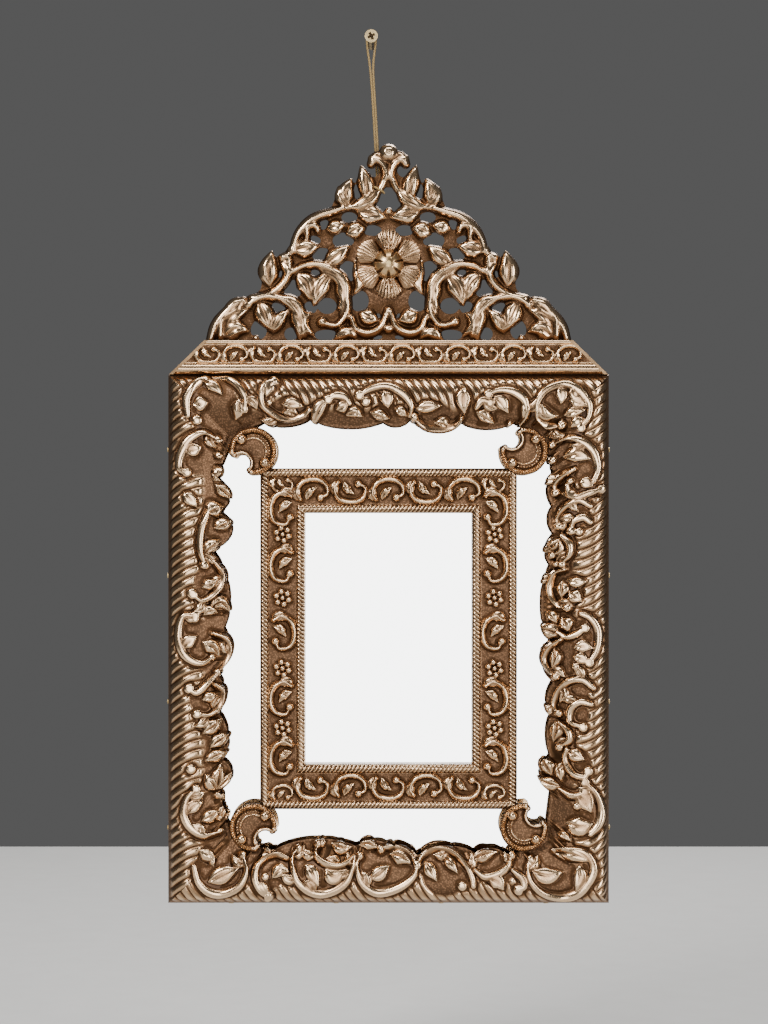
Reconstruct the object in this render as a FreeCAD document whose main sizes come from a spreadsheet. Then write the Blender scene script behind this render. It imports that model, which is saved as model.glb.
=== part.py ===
import FreeCAD, Part
import math
import os

import Sketcher

Vector = FreeCAD.Vector
doc = FreeCAD.newDocument("cushion_mirror")

# Driving sizes in millimetres, read off the photograph at 250 mm for the frame's width
SIZES = {
    # outer frame
    "frame_width": 250,
    "frame_height": 300,
    "moulding_width": 24,
    "side_depth": 12,
    "shoulder_radius": 11,
    "inner_slope_radius": 26,
    # back, glass and their fits
    "board_thickness": 3,
    "board_lap": 10,
    "glass_thickness": 3,
    "glass_lap": 6.5,
    "edge_clearance": 0.3,
    # embossed sheet
    "sheet_gauge": 0.6,
    "sheet_gap": 0.2,
    "skirt_depth": 4,
    "lip_reach": 42,
    "lip_depth": 10.5,
    "corner_reach": 36,
    "flute_pitch": 5.4,
    "flute_reach": 20,
    "flute_sweep": 9,
    "relief_height": 0.8,
    "scroll_stem": 3.2,
    "scroll_bead": 2.4,
    # inner frame
    "margin_glass_x": 10.5,
    "margin_glass_z": 11.5,
    "slip_band": 24,
    "slip_lap": 7,
    "slip_depth": 12.5,
    "rope_width": 5,
    "rope_rise": 2.5,
    # corner scrolls
    "corner_inset_x": 48,
    "corner_inset_z": 43,
    "corner_radius": 13,
    "corner_notch_radius": 6.5,
    "corner_thickness": 1.2,
    "corner_rim": 1.8,
    # crest
    "crest_rail_height": 19.4,
    "crest_rail_depth": 16,
    "crest_rail_inset": 20,
    "crest_plate_back": 5,
    "crest_plate_thickness": 3,
    "crest_tongue": 8,
    "crest_tongue_shoulder": 10.5,
    "frieze_bead": 6.4,
    "frieze_strip": 2.2,
    "dowel_radius": 2.5,
    "dowel_reach": 9,
    "dowel_spacing": 120,
    "dowel_depth": 4,
    "crest_end_thickness": 2.5,
    "rosette_radius": 20,
    "rosette_hub": 4,
    "boss_radius": 8.5,
    "boss_rise": 5,
    # hanging
    "cord_diameter": 1.2,
    "cord_drop": 88.4,
    "cord_lean": 4.2,
    "cord_depth": 3.2,
    "hitch_clearance": 0.45,
    "tie_opening_margin": 2.4,
    "screw_radius": 1.75,
    "screw_thread_radius": 2,
    "screw_reach": 28,
    "screw_head_radius": 3.75,
    "screw_head_depth": 2.4,
    "screw_stand": 4.6,
    # small fasteners
    "pin_radius": 0.7,
    "pin_length": 9,
    "pin_head_radius": 1.4,
    "pin_head_depth": 0.6,
    "slip_screw_radius": 1.3,
    "slip_screw_head": 2.6,
    "slip_screw_length": 11,
    "pin_fit": 0.05,
}


class Size:
    """A number together with the sheet expression that gives it."""

    def __init__(self, value, text):
        self.value = float(value)
        self.text = text

    def __add__(self, other):
        other = as_size(other)
        return Size(self.value + other.value, f"({self.text} + {other.text})")

    def __radd__(self, other):
        return as_size(other) + self

    def __sub__(self, other):
        other = as_size(other)
        return Size(self.value - other.value, f"({self.text} - {other.text})")

    def __rsub__(self, other):
        return as_size(other) - self

    def __mul__(self, factor):
        factor = as_size(factor)
        return Size(self.value * factor.value, f"({self.text} * {factor.text})")

    def __rmul__(self, factor):
        return self * factor

    def __truediv__(self, divisor):
        divisor = as_size(divisor)
        return Size(self.value / divisor.value, f"({self.text} / {divisor.text})")

    def __neg__(self):
        return as_size(0) - self


def as_size(number):
    """Give a plain number the same form as a size of the sheet."""
    if isinstance(number, Size):
        return number
    return Size(number, repr(float(number)))


def fill_sheet():
    """Write every driving size into the sheet and return them by name."""
    sheet = doc.addObject("Spreadsheet::Sheet", "Sizes")
    named = {}
    for row, (name, value) in enumerate(SIZES.items(), start=1):
        sheet.set(f"A{row}", name)
        sheet.set(f"B{row}", str(value))
        sheet.setAlias(f"B{row}", name)
        named[name] = Size(value, f"Sizes.{name}")
    doc.recompute()
    return named


sizes = fill_sheet()
half_width = sizes["frame_width"] / 2
half_height = sizes["frame_height"] / 2
sheet_stand = sizes["sheet_gap"] + sizes["sheet_gauge"]
crown_depth = sizes["side_depth"] + sizes["shoulder_radius"]
glass_front = sizes["board_thickness"] + sizes["glass_thickness"]

rail_half_bottom = half_width - sizes["crest_end_thickness"]
rail_half_top = rail_half_bottom - sizes["crest_rail_inset"]

# The crest is drawn in units from the middle of its foot; the rail's half top is 102.5 of them
CREST_UNIT_RATIO = 1 / 102.5
crest_unit = rail_half_top.value * CREST_UNIT_RATIO
NECK_ANGLES = (10.0, -30.0, -80.0)
TIE_ANGLE = NECK_ANGLES[1]


def crest_units(*numbers):
    """Lengths of the crest's drawing at the size of the rail that carries it."""
    return tuple(number * crest_unit for number in numbers)


NECK_X, NECK_Z, NECK_RADIUS = crest_units(-20.0, 95.0, 16.5)


def neck_point(angle):
    """A point on the arc of the stem that the cord is tied to."""
    turn = math.radians(angle)
    return (NECK_X + NECK_RADIUS * math.cos(turn), NECK_Z + NECK_RADIUS * math.sin(turn))


TIE_X, TIE_Z = neck_point(TIE_ANGLE)
STEM_RADIUS = 2.6
stem_radius = STEM_RADIUS * crest_unit

# The origin is where the wall screw enters the wall; the mirror hangs below it
crest_foot = half_height + sheet_stand + sizes["crest_rail_height"]
centre_x = sizes["cord_lean"] - TIE_X
centre_z = -(crest_foot + TIE_Z + sizes["cord_drop"])
crest_z = centre_z + crest_foot


def bind(thing, prop, size):
    """Tie one property to the sheet."""
    thing.setExpression(prop, as_size(size).text)


def place(thing, x, y, z, angle=0.0):
    """Turn a finished piece about the Y axis and move it to a place tied to the sheet."""
    turn = FreeCAD.Rotation(Vector(0, 1, 0), angle)
    x, y, z = as_size(x), as_size(y), as_size(z)
    thing.Placement = FreeCAD.Placement(Vector(x.value, y.value, z.value), turn)
    bind(thing, "Placement.Base.x", x)
    bind(thing, "Placement.Base.y", y)
    bind(thing, "Placement.Base.z", z)


def new_body(label):
    body = doc.addObject("PartDesign::Body", label)
    body.Label = label
    return body


def new_sketch(body, role, name, depth=0):
    """A sketch on one of the body's own planes; on XZ it may stand forward by a depth."""
    sketch = body.newObject("Sketcher::SketchObject", f"{body.Name}_{name}")
    plane = next(f for f in body.Origin.OriginFeatures if f.Role == role)
    sketch.AttachmentSupport = [(plane, "")]
    sketch.MapMode = "FlatFace"
    depth = as_size(depth)
    sketch.AttachmentOffset = FreeCAD.Placement(Vector(0, 0, depth.value), FreeCAD.Rotation())
    bind(sketch, "AttachmentOffset.Base.z", depth)
    return sketch


def pin_point(sketch, geometry, position, point):
    """Fix one point of the sketch to sheet expressions; None leaves that direction free."""
    for kind, size in zip(("DistanceX", "DistanceY"), point):
        if size is None:
            continue
        size = as_size(size)
        number = sketch.addConstraint(Sketcher.Constraint(kind, -1, 1, geometry, position, size.value))
        sketch.setExpression(f"Constraints[{number}]", size.text)


def draw_loop(sketch, corners, arcs=None):
    """Draw a closed loop; arcs maps a segment's number to its centre and turning sense.

    A corner is (x, y), or (x, y, "x follows") where the arc that ends there gives its x.
    """
    arcs = arcs or {}
    first = sketch.GeometryCount
    count = len(corners)
    ends = []
    for i in range(count):
        start = Vector(as_size(corners[i][0]).value, as_size(corners[i][1]).value, 0)
        after = corners[(i + 1) % count]
        stop = Vector(as_size(after[0]).value, as_size(after[1]).value, 0)
        if i not in arcs:
            sketch.addGeometry(Part.LineSegment(start, stop))
            ends.append((1, 2))
            continue
        (centre_u, centre_v), anticlockwise = arcs[i]
        centre = Vector(as_size(centre_u).value, as_size(centre_v).value, 0)
        circle = Part.Circle(centre, Vector(0, 0, 1), (start - centre).Length)
        angle_start = math.atan2(start.y - centre.y, start.x - centre.x)
        angle_stop = math.atan2(stop.y - centre.y, stop.x - centre.x)
        if anticlockwise:
            sketch.addGeometry(Part.ArcOfCircle(circle, angle_start, angle_stop))
            ends.append((1, 2))
        else:
            sketch.addGeometry(Part.ArcOfCircle(circle, angle_stop, angle_start))
            ends.append((2, 1))
    for i in range(count):
        after = (i + 1) % count
        sketch.addConstraint(
            Sketcher.Constraint("Coincident", first + i, ends[i][1], first + after, ends[after][0])
        )
    for i in range(count):
        corner = corners[i]
        follows = corner[2] if len(corner) == 3 else ""
        pinned_x = None if follows == "x follows" else corner[0]
        pinned_y = None if follows == "y follows" else corner[1]
        pin_point(sketch, first + i, ends[i][0], (pinned_x, pinned_y))
        if i in arcs:
            pin_point(sketch, first + i, 3, arcs[i][0])


def add_pad(body, sketch, length, midplane=False):
    pad = body.newObject("PartDesign::Pad", f"{sketch.Name}_pad")
    pad.Profile = sketch
    pad.Midplane = midplane
    bind(pad, "Length", length)
    sketch.Visibility = False
    return pad


def add_pocket(body, sketch, length, midplane=True):
    pocket = body.newObject("PartDesign::Pocket", f"{sketch.Name}_pocket")
    pocket.Profile = sketch
    pocket.Midplane = midplane
    bind(pocket, "Length", length)
    sketch.Visibility = False
    return pocket


def plate(label, corners, depth, thickness, x=centre_x, z=centre_z):
    """A flat plate drawn on the XZ plane, standing forward of the wall by a depth."""
    body = new_body(label)
    sketch = new_sketch(body, "XZ_Plane", "outline", depth)
    draw_loop(sketch, corners)
    add_pad(body, sketch, thickness)
    place(body, x, 0, z)
    return body


def rectangle(half_x, half_z):
    return [(-half_x, -half_z), (half_x, -half_z), (half_x, half_z), (-half_x, half_z)]


# Mitred mouldings

SIDE_TURN = {"top": 0.0, "right": 90.0, "bottom": 180.0, "left": -90.0}
MITRE_SPARE = 6
CUT_THROUGH = 200


def side_half(side, half_x, half_z):
    """Half the length of a side of a rectangle."""
    return half_x if side in ("top", "bottom") else half_z


def mitred_side(label, side, half_x, half_z, corners, arcs=None):
    """One side of a rectangular frame; the profile lies in (depth, inward) coordinates."""
    half_length = side_half(side, half_x, half_z)
    body = new_body(label)
    profile = new_sketch(body, "YZ_Plane", "profile")
    draw_loop(profile, corners, arcs)
    add_pad(body, profile, 2 * half_length + 2 * MITRE_SPARE, midplane=True)
    mitre = new_sketch(body, "XZ_Plane", "mitre")
    tip = half_length + MITRE_SPARE
    for hand in (1, -1):
        draw_loop(mitre, [
            (hand * tip, as_size(MITRE_SPARE)),
            (hand * tip, -half_length),
            (as_size(0), -half_length),
        ])
    add_pocket(body, mitre, as_size(CUT_THROUGH))
    out_x = {"left": -half_x, "right": half_x}.get(side, as_size(0))
    out_z = {"bottom": -half_z, "top": half_z}.get(side, as_size(0))
    place(body, centre_x + out_x, 0, centre_z + out_z, SIDE_TURN[side])
    return body


def slope_depth(offset):
    """Depth of the cushion's inner slope where the wood ends."""
    radius = sizes["inner_slope_radius"].value + as_size(offset).value
    run = sizes["moulding_width"].value - sizes["shoulder_radius"].value
    return crown_depth.value - sizes["inner_slope_radius"].value + math.sqrt(radius ** 2 - run ** 2)


SHOULDER_CENTRE = (-sizes["side_depth"], -sizes["shoulder_radius"])
SLOPE_CENTRE = (sizes["inner_slope_radius"] - crown_depth, -sizes["shoulder_radius"])


def carcass_side(side):
    """A wooden moulding with a cushion front and rebates for the glass and the board."""
    glass_edge = sizes["moulding_width"] - sizes["glass_lap"]
    board_edge = sizes["moulding_width"] - sizes["board_lap"]
    corners = [
        (0, 0),
        (-sizes["side_depth"], 0),
        (-crown_depth, -sizes["shoulder_radius"], "x follows"),
        (-slope_depth(0), -sizes["moulding_width"], "x follows"),
        (-glass_front, -sizes["moulding_width"]),
        (-glass_front, -glass_edge),
        (-sizes["board_thickness"], -glass_edge),
        (-sizes["board_thickness"], -board_edge),
        (0, -board_edge),
    ]
    arcs = {1: (SHOULDER_CENTRE, True), 2: (SLOPE_CENTRE, True)}
    return mitred_side(f"frame_{side}", side, half_width, half_height, corners, arcs)


# Scalloped inner edge of each embossed sheet, from one end of the side to the other: place along
# the side in hundredths of its half-length, reach of the valley there, reach of the lobe after it
LOBES = {
    "top": [
        (-57.5, 27, 29), (-36, 25, 30), (-2.5, 26.5, 29), (10.5, 25, 31), (33.5, 27, 30.5), (57.5, 27, 0),
    ],
    "bottom": [
        (-54.5, 27, 31), (-40, 28, 32), (-13, 26, 32), (-2.5, 31, 35), (15, 32, 36), (53, 29.5, 0),
    ],
    "left": [
        (-58, 28, 35.5), (-46, 31, 33.5), (-27.5, 28, 31), (-12.5, 27.5, 34.5),
        (4, 31, 34), (33.5, 25, 35.5), (48.5, 29.5, 34), (61.5, 27, 0),
    ],
    "right": [
        (-63.5, 31.5, 34.5), (-50.5, 31.5, 34), (-40, 31, 35.5), (-28, 33, 38), (1, 33.5, 37.5),
        (16.5, 31.5, 35), (29.5, 33, 35), (44.5, 33, 39), (58.5, 32.5, 0),
    ],
}


def scallop_edge(body, side, half_length):
    """Trim the sheet's inner edge to its chain of lobes."""
    sketch = new_sketch(body, "XZ_Plane", "scallops")
    lobes = [(along * half_length.value / 100, reach, peak) for along, reach, peak in LOBES[side]]
    corner_x = half_length.value - sizes["corner_reach"].value
    corner_z = -sizes["corner_reach"].value
    far = -half_length.value
    start, stop = Vector(-corner_x, corner_z, 0), Vector(corner_x, corner_z, 0)
    edges = [Part.LineSegment(start, Vector(lobes[0][0], -lobes[0][1], 0))]
    for (place_a, reach_a, peak), (place_b, reach_b, _) in zip(lobes, lobes[1:]):
        middle = Vector((place_a + place_b) / 2, -peak, 0)
        edges.append(Part.Arc(Vector(place_a, -reach_a, 0), middle, Vector(place_b, -reach_b, 0)))
    edges.append(Part.LineSegment(Vector(lobes[-1][0], -lobes[-1][1], 0), stop))
    edges.append(Part.LineSegment(stop, Vector(-far, far, 0)))
    edges.append(Part.LineSegment(Vector(-far, far, 0), Vector(far, far, 0)))
    edges.append(Part.LineSegment(Vector(far, far, 0), start))
    for edge in edges:
        number = sketch.addGeometry(edge)
        sketch.addConstraint(Sketcher.Constraint("Block", number))
    add_pocket(body, sketch, CUT_THROUGH)


def cushion_layer(label, side, under, over, rise, skirt):
    """A mitred, scalloped layer over one side, between two stands off the wood; its face may rise."""
    foot = sizes["side_depth"] - skirt
    lip = sizes["lip_depth"] - sizes["sheet_gap"]
    wood_edge = -sizes["moulding_width"]
    corners = [
        (-(foot + rise), over),
        (-(sizes["side_depth"] + rise), over),
        (-(crown_depth + over + rise), -sizes["shoulder_radius"], "x follows"),
        (-(slope_depth(over) + rise), wood_edge, "x follows"),
        (-(lip + over + rise), -sizes["lip_reach"]),
        (-(lip + under), -sizes["lip_reach"]),
        (-slope_depth(under), wood_edge, "x follows"),
        (-(crown_depth + under), -sizes["shoulder_radius"], "x follows"),
        (-sizes["side_depth"], under),
        (-foot, under),
    ]
    arcs = {
        1: ((SHOULDER_CENTRE[0] - rise, SHOULDER_CENTRE[1]), True),
        2: ((SLOPE_CENTRE[0] - rise, SLOPE_CENTRE[1]), True),
        6: (SLOPE_CENTRE, False), 7: (SHOULDER_CENTRE, False),
    }
    body = mitred_side(label, side, half_width, half_height, corners, arcs)
    scallop_edge(body, side, side_half(side, half_width, half_height))
    return body


def cover_side(side):
    """The sheet over one side: skirt, cushion and scalloped lip over the glass."""
    gap, skirt = sizes["sheet_gap"], sizes["skirt_depth"]
    return cushion_layer(f"sheet_{side}", side, gap, sheet_stand, as_size(0), skirt)


# Raised ornament of the sheets: gadroon flutes on the shoulder, C-scrolls on the slope

# C-scrolls, from one end of the side to the other: place along it in hundredths of its half-length,
# distance in from the edge, radius, and the way that the scroll opens
OPENS = {
    "on": 0, "on out": 45, "out": 90, "back out": 135, "back": 180, "back in": 225, "in": 270, "on in": 315,
}
C_SCROLLS = {
    "top": [
        (-80, 14.5, 14, "on in"), (-47, 15, 12, "on out"), (-22, 15.5, 6.5, "in"), (-1, 14.5, 13, "in"),
        (23, 22, 11, "out"), (53, 18, 11.5, "back in"), (79.5, 18, 14, "in"),
    ],
    "right": [
        (-67.5, 20, 12.5, "on in"), (-47.5, 19.5, 8.5, "on out"), (-19, 23.5, 10, "out"), (1, 19.5, 14, "in"),
        (21.5, 19.5, 9, "on out"), (46, 17.5, 8, "back out"), (64.5, 16.5, 13, "in"),
    ],
    "bottom": [
        (-78, 16.5, 15, "in"), (-50, 20.5, 10, "in"), (-25.5, 17, 13, "out"), (1, 18.5, 14.5, "in"),
        (30, 18.5, 15, "in"), (53, 16.5, 9, "back"), (77, 18.5, 14, "in"),
    ],
    "left": [
        (-65.5, 20.5, 12, "in"), (-23, 19.5, 8.5, "out"), (0, 18, 12, "in"), (22, 23.5, 9.5, "out"),
        (70, 18, 12.5, "in"),
    ],
}
SCROLL_GAP = 55.0
SHORTEST_FLUTE = 4.0
LENGTHS_PER_SIDE = 7
FLUTE_BREADTH_RATIO = 0.6
FLUTE_TIP_RATIO = 0.4


def scroll_faces(along, inward, radius, opening):
    """The plan of a C-scroll: a ring with a gap, and a bead at both its ends."""
    centre = Vector(along, 0, -inward)
    half_stem = sizes["scroll_stem"].value / 2

    def on_ring(reach, angle):
        turn = math.radians(opening + angle)
        return centre + Vector(reach * math.cos(turn), 0, reach * math.sin(turn))

    angles = (SCROLL_GAP, 180.0, 360.0 - SCROLL_GAP)
    outer = [on_ring(radius + half_stem, angle) for angle in angles]
    inner = [on_ring(radius - half_stem, angle) for angle in angles]
    ring = Part.Wire([
        Part.Arc(*outer).toShape(),
        Part.LineSegment(outer[2], inner[2]).toShape(),
        Part.Arc(inner[2], inner[1], inner[0]).toShape(),
        Part.LineSegment(inner[0], outer[0]).toShape(),
    ])
    faces = [Part.Face(ring)]
    for angle in (angles[0], angles[2]):
        bead = Part.Circle(on_ring(radius, angle), Vector(0, 1, 0), sizes["scroll_bead"].value)
        faces.append(Part.Face(Part.Wire(bead.toShape())))
    return faces


def flute_shift(inward):
    """How far a flute has swept along the side at a distance in from the edge."""
    left = 1 - inward / sizes["flute_reach"].value
    return sizes["flute_sweep"].value * (1 - left ** 2)


def flute_length(along, half_length, scrolls):
    """How far in a flute runs before it meets a scroll or the mitre."""
    reach = sizes["flute_reach"].value
    for place_along, inward, radius, _ in scrolls:
        offset = along - place_along
        if abs(offset) < radius:
            reach = min(reach, inward - math.sqrt(radius ** 2 - offset ** 2))
    room = half_length - sizes["flute_pitch"].value / 2
    while reach > SHORTEST_FLUTE and along + flute_shift(reach) > room - reach:
        reach -= 1
    return min(reach, room + along)


def flute_face(along, reach):
    """The plan of one flute, a slanting band that narrows inwards."""
    half = sizes["flute_pitch"].value * FLUTE_BREADTH_RATIO / 2
    tip = along + flute_shift(reach)
    half_tip = half * FLUTE_TIP_RATIO
    corners = [
        Vector(along - half, 0, 0), Vector(along + half, 0, 0),
        Vector(tip + half_tip, 0, -reach), Vector(tip - half_tip, 0, -reach),
    ]
    return Part.Face(Part.makePolygon(corners + corners[:1]))


def unplaced(body):
    """A body's shape in its own coordinates."""
    shape = body.Shape.copy()
    shape.Placement = FreeCAD.Placement()
    return shape


def in_lengths(shape, half_length):
    """A long shape cut into equal lengths, so that no face of it carries too many motifs."""
    span = half_length + MITRE_SPARE
    step = 2 * span / LENGTHS_PER_SIDE
    pieces = []
    for number in range(LENGTHS_PER_SIDE):
        corner = Vector(number * step - span, -CUT_THROUGH, -CUT_THROUGH)
        box = Part.makeBox(step, 2 * CUT_THROUGH, 2 * CUT_THROUGH, corner)
        pieces += shape.common(box).Solids
    return pieces


def embossed_cover(side, sheet):
    """The sheet of one side with its flutes and C-scrolls raised."""
    half_length = side_half(side, half_width, half_height).value
    scrolls, faces = [], []
    for share, inward, radius, way in C_SCROLLS[side]:
        scroll = (share * half_length / 100, inward, radius, OPENS[way])
        scrolls.append(scroll)
        faces += scroll_faces(*scroll)
    pitch = sizes["flute_pitch"].value
    count = int(half_length / pitch)
    for number in range(-count, count + 1):
        reach = flute_length(number * pitch, half_length, scrolls)
        if reach > SHORTEST_FLUTE:
            faces.append(flute_face(number * pitch, reach))
    prisms = [face.extrude(Vector(0, -CUT_THROUGH, 0)) for face in faces]
    plan = prisms[0].multiFuse(prisms[1:]).removeSplitter()
    middle = sizes["sheet_gap"] + sizes["sheet_gauge"] / 2
    rise = sizes["relief_height"]
    layer = cushion_layer(f"layer_{side}", side, middle, sheet_stand, rise, rise)
    doc.recompute()
    ribs = unplaced(layer).common(plan)
    lengths = in_lengths(unplaced(sheet), half_length)
    cover = doc.addObject("Part::Feature", f"cover_{side}")
    cover.Label = f"cover_{side}"
    cover.Shape = lengths[0].multiFuse(lengths[1:] + ribs.Solids).Solids[0]
    cover.Placement = sheet.Placement
    print(f"cover {side}: {len(faces)} motifs, {len(ribs.Solids)} raised solids")
    return cover


# Inner frame

slip_half_x = half_width - sizes["lip_reach"] - sizes["margin_glass_x"]
slip_half_z = half_height - sizes["lip_reach"] - sizes["margin_glass_z"]
slip_face = sizes["slip_depth"] + sheet_stand


def slip_side(side):
    """A wooden slip of T section: its foot stands on the board between the panes."""
    foot_in = sizes["slip_lap"] + sizes["edge_clearance"]
    foot_out = sizes["slip_band"] - foot_in
    corners = [
        (-glass_front, 0),
        (-sizes["slip_depth"], 0),
        (-sizes["slip_depth"], -sizes["slip_band"]),
        (-glass_front, -sizes["slip_band"]),
        (-glass_front, -foot_out),
        (-sizes["board_thickness"], -foot_out),
        (-sizes["board_thickness"], -foot_in),
        (-glass_front, -foot_in),
    ]
    return mitred_side(f"slip_{side}", side, slip_half_x, slip_half_z, corners)


def rope_centre(middle):
    """Centre of the round rope edge whose rise and width are given by the sheet."""
    half = sizes["rope_width"] / 2
    radius = (half * half + sizes["rope_rise"] * sizes["rope_rise"]) / (2 * sizes["rope_rise"])
    return (-(slip_face + sizes["rope_rise"] - radius), middle)


def slip_cover_side(side):
    """The embossed sheet over a slip, with a rope edge along both sides."""
    inner, outer = sizes["sheet_gap"], sheet_stand
    band = sizes["slip_band"]
    skirt_end = glass_front + sizes["sheet_gauge"]
    under = sizes["slip_depth"] + sizes["sheet_gap"]
    rope = sizes["rope_width"]
    corners = [
        (-skirt_end, outer),
        (-slip_face, outer),
        (-slip_face, outer - rope, "y follows"),
        (-slip_face, rope - outer - band),
        (-slip_face, -(band + outer), "y follows"),
        (-skirt_end, -(band + outer)),
        (-skirt_end, -(band + inner)),
        (-under, -(band + inner)),
        (-under, inner),
        (-skirt_end, inner),
    ]
    arcs = {
        1: (rope_centre(outer - rope / 2), True),
        3: (rope_centre(rope / 2 - outer - band), True),
    }
    return mitred_side(f"slip_cover_{side}", side, slip_half_x, slip_half_z, corners, arcs)


# Small fasteners and the holes they sit in

PIN_SHARES = (-0.72, -0.24, 0.24, 0.72)
skirt_pin_depth = sizes["side_depth"] - sizes["skirt_depth"] / 2
board_pin_inset = sizes["moulding_width"] - (sizes["board_lap"] + sizes["glass_lap"]) / 2
slip_screw_hole = sizes["slip_screw_radius"] + sizes["pin_fit"]
pin_hole = sizes["pin_radius"] + sizes["pin_fit"]
SLIP_SCREW_STEP = 0.5


def draw_circles(sketch, centres, radius):
    for centre in centres:
        x, y = as_size(centre[0]), as_size(centre[1])
        circle = Part.Circle(Vector(x.value, y.value, 0), Vector(0, 0, 1), as_size(radius).value)
        number = sketch.addGeometry(circle)
        pin_point(sketch, number, 3, (x, y))
        bound = sketch.addConstraint(Sketcher.Constraint("Radius", number, as_size(radius).value))
        sketch.setExpression(f"Constraints[{bound}]", as_size(radius).text)


def drill(body, role, name, centres, radius, depth, length, midplane=True):
    sketch = new_sketch(body, role, name, depth)
    draw_circles(sketch, centres, radius)
    return add_pocket(body, sketch, length, midplane)


def pin_places(side):
    """Where the four pins of a side stand along it, from its middle."""
    return [share * side_half(side, half_width, half_height) for share in PIN_SHARES]


def drill_skirt_pins(body, side):
    places = [(along, -skirt_pin_depth) for along in pin_places(side)]
    drill(body, "XY_Plane", "skirt_holes", places, pin_hole, 0, 2 * sizes["pin_length"] + 1)


def drill_board_pins(body, side):
    places = [(along, -board_pin_inset) for along in pin_places(side)]
    drill(body, "XZ_Plane", "board_holes", places, pin_hole, 0, 2 * sizes["pin_length"] + 1)


def slip_screw_places(half_length):
    reach = SLIP_SCREW_STEP * half_length
    return [(-reach, -sizes["slip_band"] / 2), (reach, -sizes["slip_band"] / 2)]


def drill_slip_screws(body, half_length):
    places = slip_screw_places(half_length)
    drill(body, "XZ_Plane", "screw_holes", places, slip_screw_hole, 0, 2 * sizes["slip_screw_length"] + 1)


def drill_dowels(body, height, reach):
    half = sizes["dowel_spacing"] / 2
    places = [(-half, -sizes["dowel_depth"]), (half, -sizes["dowel_depth"])]
    radius = sizes["dowel_radius"] + sizes["pin_fit"]
    drill(body, "XY_Plane", "dowel_holes", places, radius, height, 2 * reach + 1)


def rod(label, radius, height, x, y, z, axis, angle):
    """A round rod tied to the sheet; its length runs along local Z turned about an axis."""
    cylinder = doc.addObject("Part::Cylinder", label)
    bind(cylinder, "Radius", radius)
    bind(cylinder, "Height", height)
    place(cylinder, x, y, z)
    cylinder.Placement = FreeCAD.Placement(
        cylinder.Placement.Base, FreeCAD.Rotation(Vector(*axis), angle)
    )
    return cylinder


def group(label, members):
    gathered = doc.addObject("Part::Compound", label)
    gathered.Label = label
    gathered.Links = members
    return gathered


def joined(label, members):
    fused = doc.addObject("Part::MultiFuse", label)
    fused.Label = label
    fused.Shapes = members
    return fused


FORWARD = ((1, 0, 0), 90.0)


def turned_place(side, along, inward, half_x, half_z):
    """Where a point of a side lies on the whole mirror, from its place along and inward."""
    return {
        "top": (centre_x + along, centre_z + half_z - inward),
        "bottom": (centre_x - along, centre_z - half_z + inward),
        "right": (centre_x + half_x - inward, centre_z - along),
        "left": (centre_x - half_x + inward, centre_z + along),
    }[side]


def board_pins():
    pins = []
    for side in SIDE_TURN:
        for along in pin_places(side):
            x, z = turned_place(side, along, board_pin_inset, half_width, half_height)
            pins.append(rod("board_pin", sizes["pin_radius"], sizes["pin_length"], x, 0, z, *FORWARD))
    return group("board_pins", pins)


def skirt_pins():
    """Round-headed pins through the sheet's skirts, into the wood."""
    turns = {"left": ((0, 1, 0), 90.0), "right": ((0, 1, 0), -90.0), "bottom": ((0, 0, 1), 0.0)}
    pins = []
    for side, turn in turns.items():
        for along in pin_places(side):
            x, z = turned_place(side, along, -sheet_stand, half_width, half_height)
            head_x, head_z = turned_place(
                side, along, -(sheet_stand + sizes["pin_head_depth"]), half_width, half_height
            )
            y = -skirt_pin_depth
            head_radius, head_depth = sizes["pin_head_radius"], sizes["pin_head_depth"]
            shank = rod("skirt_shank", sizes["pin_radius"], sizes["pin_length"], x, y, z, *turn)
            head = rod("skirt_head", head_radius, head_depth, head_x, y, head_z, *turn)
            pins.append(joined("skirt_pin", [shank, head]))
    return group("skirt_pins", pins)


def slip_screws():
    screws = []
    for side in SIDE_TURN:
        half_length = side_half(side, slip_half_x, slip_half_z)
        for along, inward in slip_screw_places(half_length):
            x, z = turned_place(side, along, -inward, slip_half_x, slip_half_z)
            length = sizes["slip_screw_length"]
            shank = rod("slip_shank", sizes["slip_screw_radius"], length, x, 0, z, *FORWARD)
            head = rod("slip_head", sizes["slip_screw_head"], sizes["board_thickness"] / 2, x, 0, z, *FORWARD)
            screws.append(joined("slip_screw", [shank, head]))
    return group("slip_screws", screws)


# Back board and panes

def back_board():
    edge = sizes["moulding_width"] - sizes["board_lap"] + sizes["edge_clearance"]
    outline = rectangle(half_width - edge, half_height - edge)
    body = plate("back_board", outline, 0, sizes["board_thickness"])
    pins, screws = [], []
    for side in SIDE_TURN:
        half_length = side_half(side, slip_half_x, slip_half_z)
        for along in pin_places(side):
            x, z = turned_place(side, along, board_pin_inset, half_width, half_height)
            pins.append((x - centre_x, z - centre_z))
        for along, inward in slip_screw_places(half_length):
            x, z = turned_place(side, along, -inward, slip_half_x, slip_half_z)
            screws.append((x - centre_x, z - centre_z))
    through = 2 * sizes["board_thickness"] + 1
    drill(body, "XZ_Plane", "pin_holes", pins, pin_hole, 0, through)
    drill(body, "XZ_Plane", "screw_holes", screws, slip_screw_hole, 0, through)
    recess = sizes["slip_screw_head"] + sizes["pin_fit"]
    drill(body, "XZ_Plane", "head_recesses", screws, recess, 0, sizes["board_thickness"])
    return body


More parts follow.
